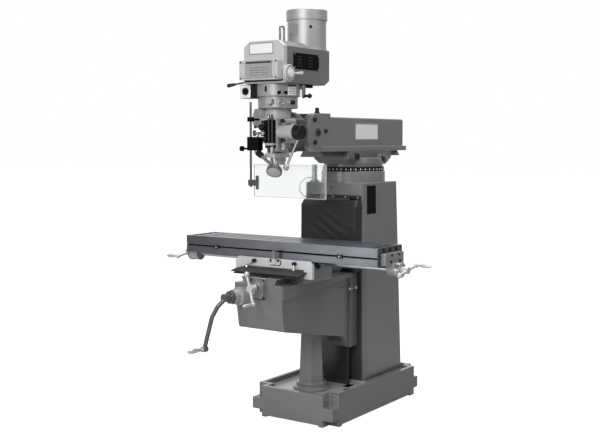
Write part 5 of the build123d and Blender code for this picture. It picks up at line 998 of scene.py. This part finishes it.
def seenShare(tree, glossyShare, strength):
    # strength on what the camera sees directly or through glass, a share of it in reflections
    path = addNode(tree, "ShaderNodeLightPath").outputs
    glossy = mathNode(tree, "MULTIPLY", path["Is Glossy Ray"], glossyShare)
    direct = mathNode(tree, "MAXIMUM", path["Is Camera Ray"], path["Is Transmission Ray"])
    return mathNode(tree, "MULTIPLY", mathNode(tree, "MAXIMUM", direct, glossy), strength)


def paleFloor(look):
    bm = bmesh.new()
    bmesh.ops.create_grid(bm, x_segments=1, y_segments=1, size=look["halfWidth"])
    mesh = bpy.data.meshes.new("floor")
    bm.to_mesh(mesh)
    bm.free()
    floor = bpy.data.objects.new("floor", mesh)
    scene.collection.objects.link(floor)
    material, tree, surface, place = newMaterial("paleFloor")
    skin = useGroup(tree, castingSkin, place, look)
    feed(surface, {"Base Color": mixColours(tree, skin["Blotch"], look["shade"], look["colour"]),
                   "Roughness": look["rough"]})
    glow = addNode(tree, "ShaderNodeEmission", {"Strength": seenShare(tree, look["glossyShare"], look["glow"])})
    both = addNode(tree, "ShaderNodeAddShader", {0: surface.outputs["BSDF"], 1: glow.outputs["Emission"]})
    feed(tree.nodes["Material Output"], {"Surface": both.outputs["Shader"]})
    mesh.materials.append(material)


def studioWorld(look):
    # one soft tone for the light, white behind the object, and reflections that fade from the rear to the front
    world = bpy.data.worlds.new("studio")
    scene.world = world
    world.use_nodes = True
    tree = world.node_tree
    soft = tree.nodes["Background"]
    feed(soft, {"Color": (*look["soft"], 1.0), "Strength": look["softStrength"]})
    white = addNode(tree, "ShaderNodeBackground", {"Color": (1.0, 1.0, 1.0, 1.0), "Strength": 1.0})
    place = addNode(tree, "ShaderNodeTexCoord").outputs["Generated"]
    across = vectorMath(tree, "DOT_PRODUCT", place, look["brightSide"])
    fade = spread(tree, across, look["fade"], (0.0, look["glossyRear"]), interpolation_type="SMOOTHSTEP")
    mix = addNode(tree, "ShaderNodeMixShader", {
        "Fac": seenShare(tree, fade, 1.0), 1: soft.outputs["Background"], 2: white.outputs["Background"]})
    feed(tree.nodes["World Output"], {"Surface": mix.outputs["Shader"]})


def softBox(name, look):
    light = bpy.data.lights.new(name, "AREA")
    light.shape = "RECTANGLE"
    light.size, light.size_y = look["size"]
    light.energy = look["watts"]
    lamp = bpy.data.objects.new(name, light)
    lamp.location = look["place"]
    lamp.rotation_euler = (Vector(look["aim"]) - Vector(look["place"])).to_track_quat("-Z", "Y").to_euler()
    scene.collection.objects.link(lamp)


paleFloor(dict(
    halfWidth=40.0, colour=(0.5, 0.5, 0.5), shade=(0.48, 0.48, 0.48), rough=0.9, glow=0.95, glossyShare=0.15,
    blotchScale=1.5, peelScale=90.0))
studioWorld(dict(
    soft=(1.0, 1.0, 1.0), softStrength=0.25, brightSide=(-0.65, 0.72, 0.25), fade=(0.4, 1.0), glossyRear=0.95))
softBoxes = dict(
    keyFront=dict(size=(2.4, 3.0), watts=196.0, place=(1.0, -5.6, 3.6), aim=(0.0, -0.4, 1.1)),
    cardLeft=dict(size=(0.7, 1.4), watts=12.0, place=(-1.4, -4.1, 1.15), aim=(0.5, -0.6, 1.0)),
    fillRight=dict(size=(2.4, 3.0), watts=62.0, place=(4.3, -1.0, 4.8), aim=(0.0, 0.0, 0.9)),
    topLight=dict(size=(3.0, 3.0), watts=130.0, place=(0.0, 0.4, 4.8), aim=(0.0, -0.2, 1.0)),
)
for name, look in softBoxes.items():
    softBox(name, look)

cameraLook = dict(lens=59.5, sensor=36.0, place=(3.137, -4.954, 1.582), turn=(85.48, 0.0, 34.6))
camera = bpy.data.objects.new("camera", bpy.data.cameras.new("camera"))
camera.data.lens = cameraLook["lens"]
camera.data.sensor_width = cameraLook["sensor"]
camera.location = cameraLook["place"]
camera.rotation_euler = [math.radians(angle) for angle in cameraLook["turn"]]
scene.collection.objects.link(camera)
scene.camera = camera
scene.view_settings.view_transform = "Standard"
print("stage, light and camera set")
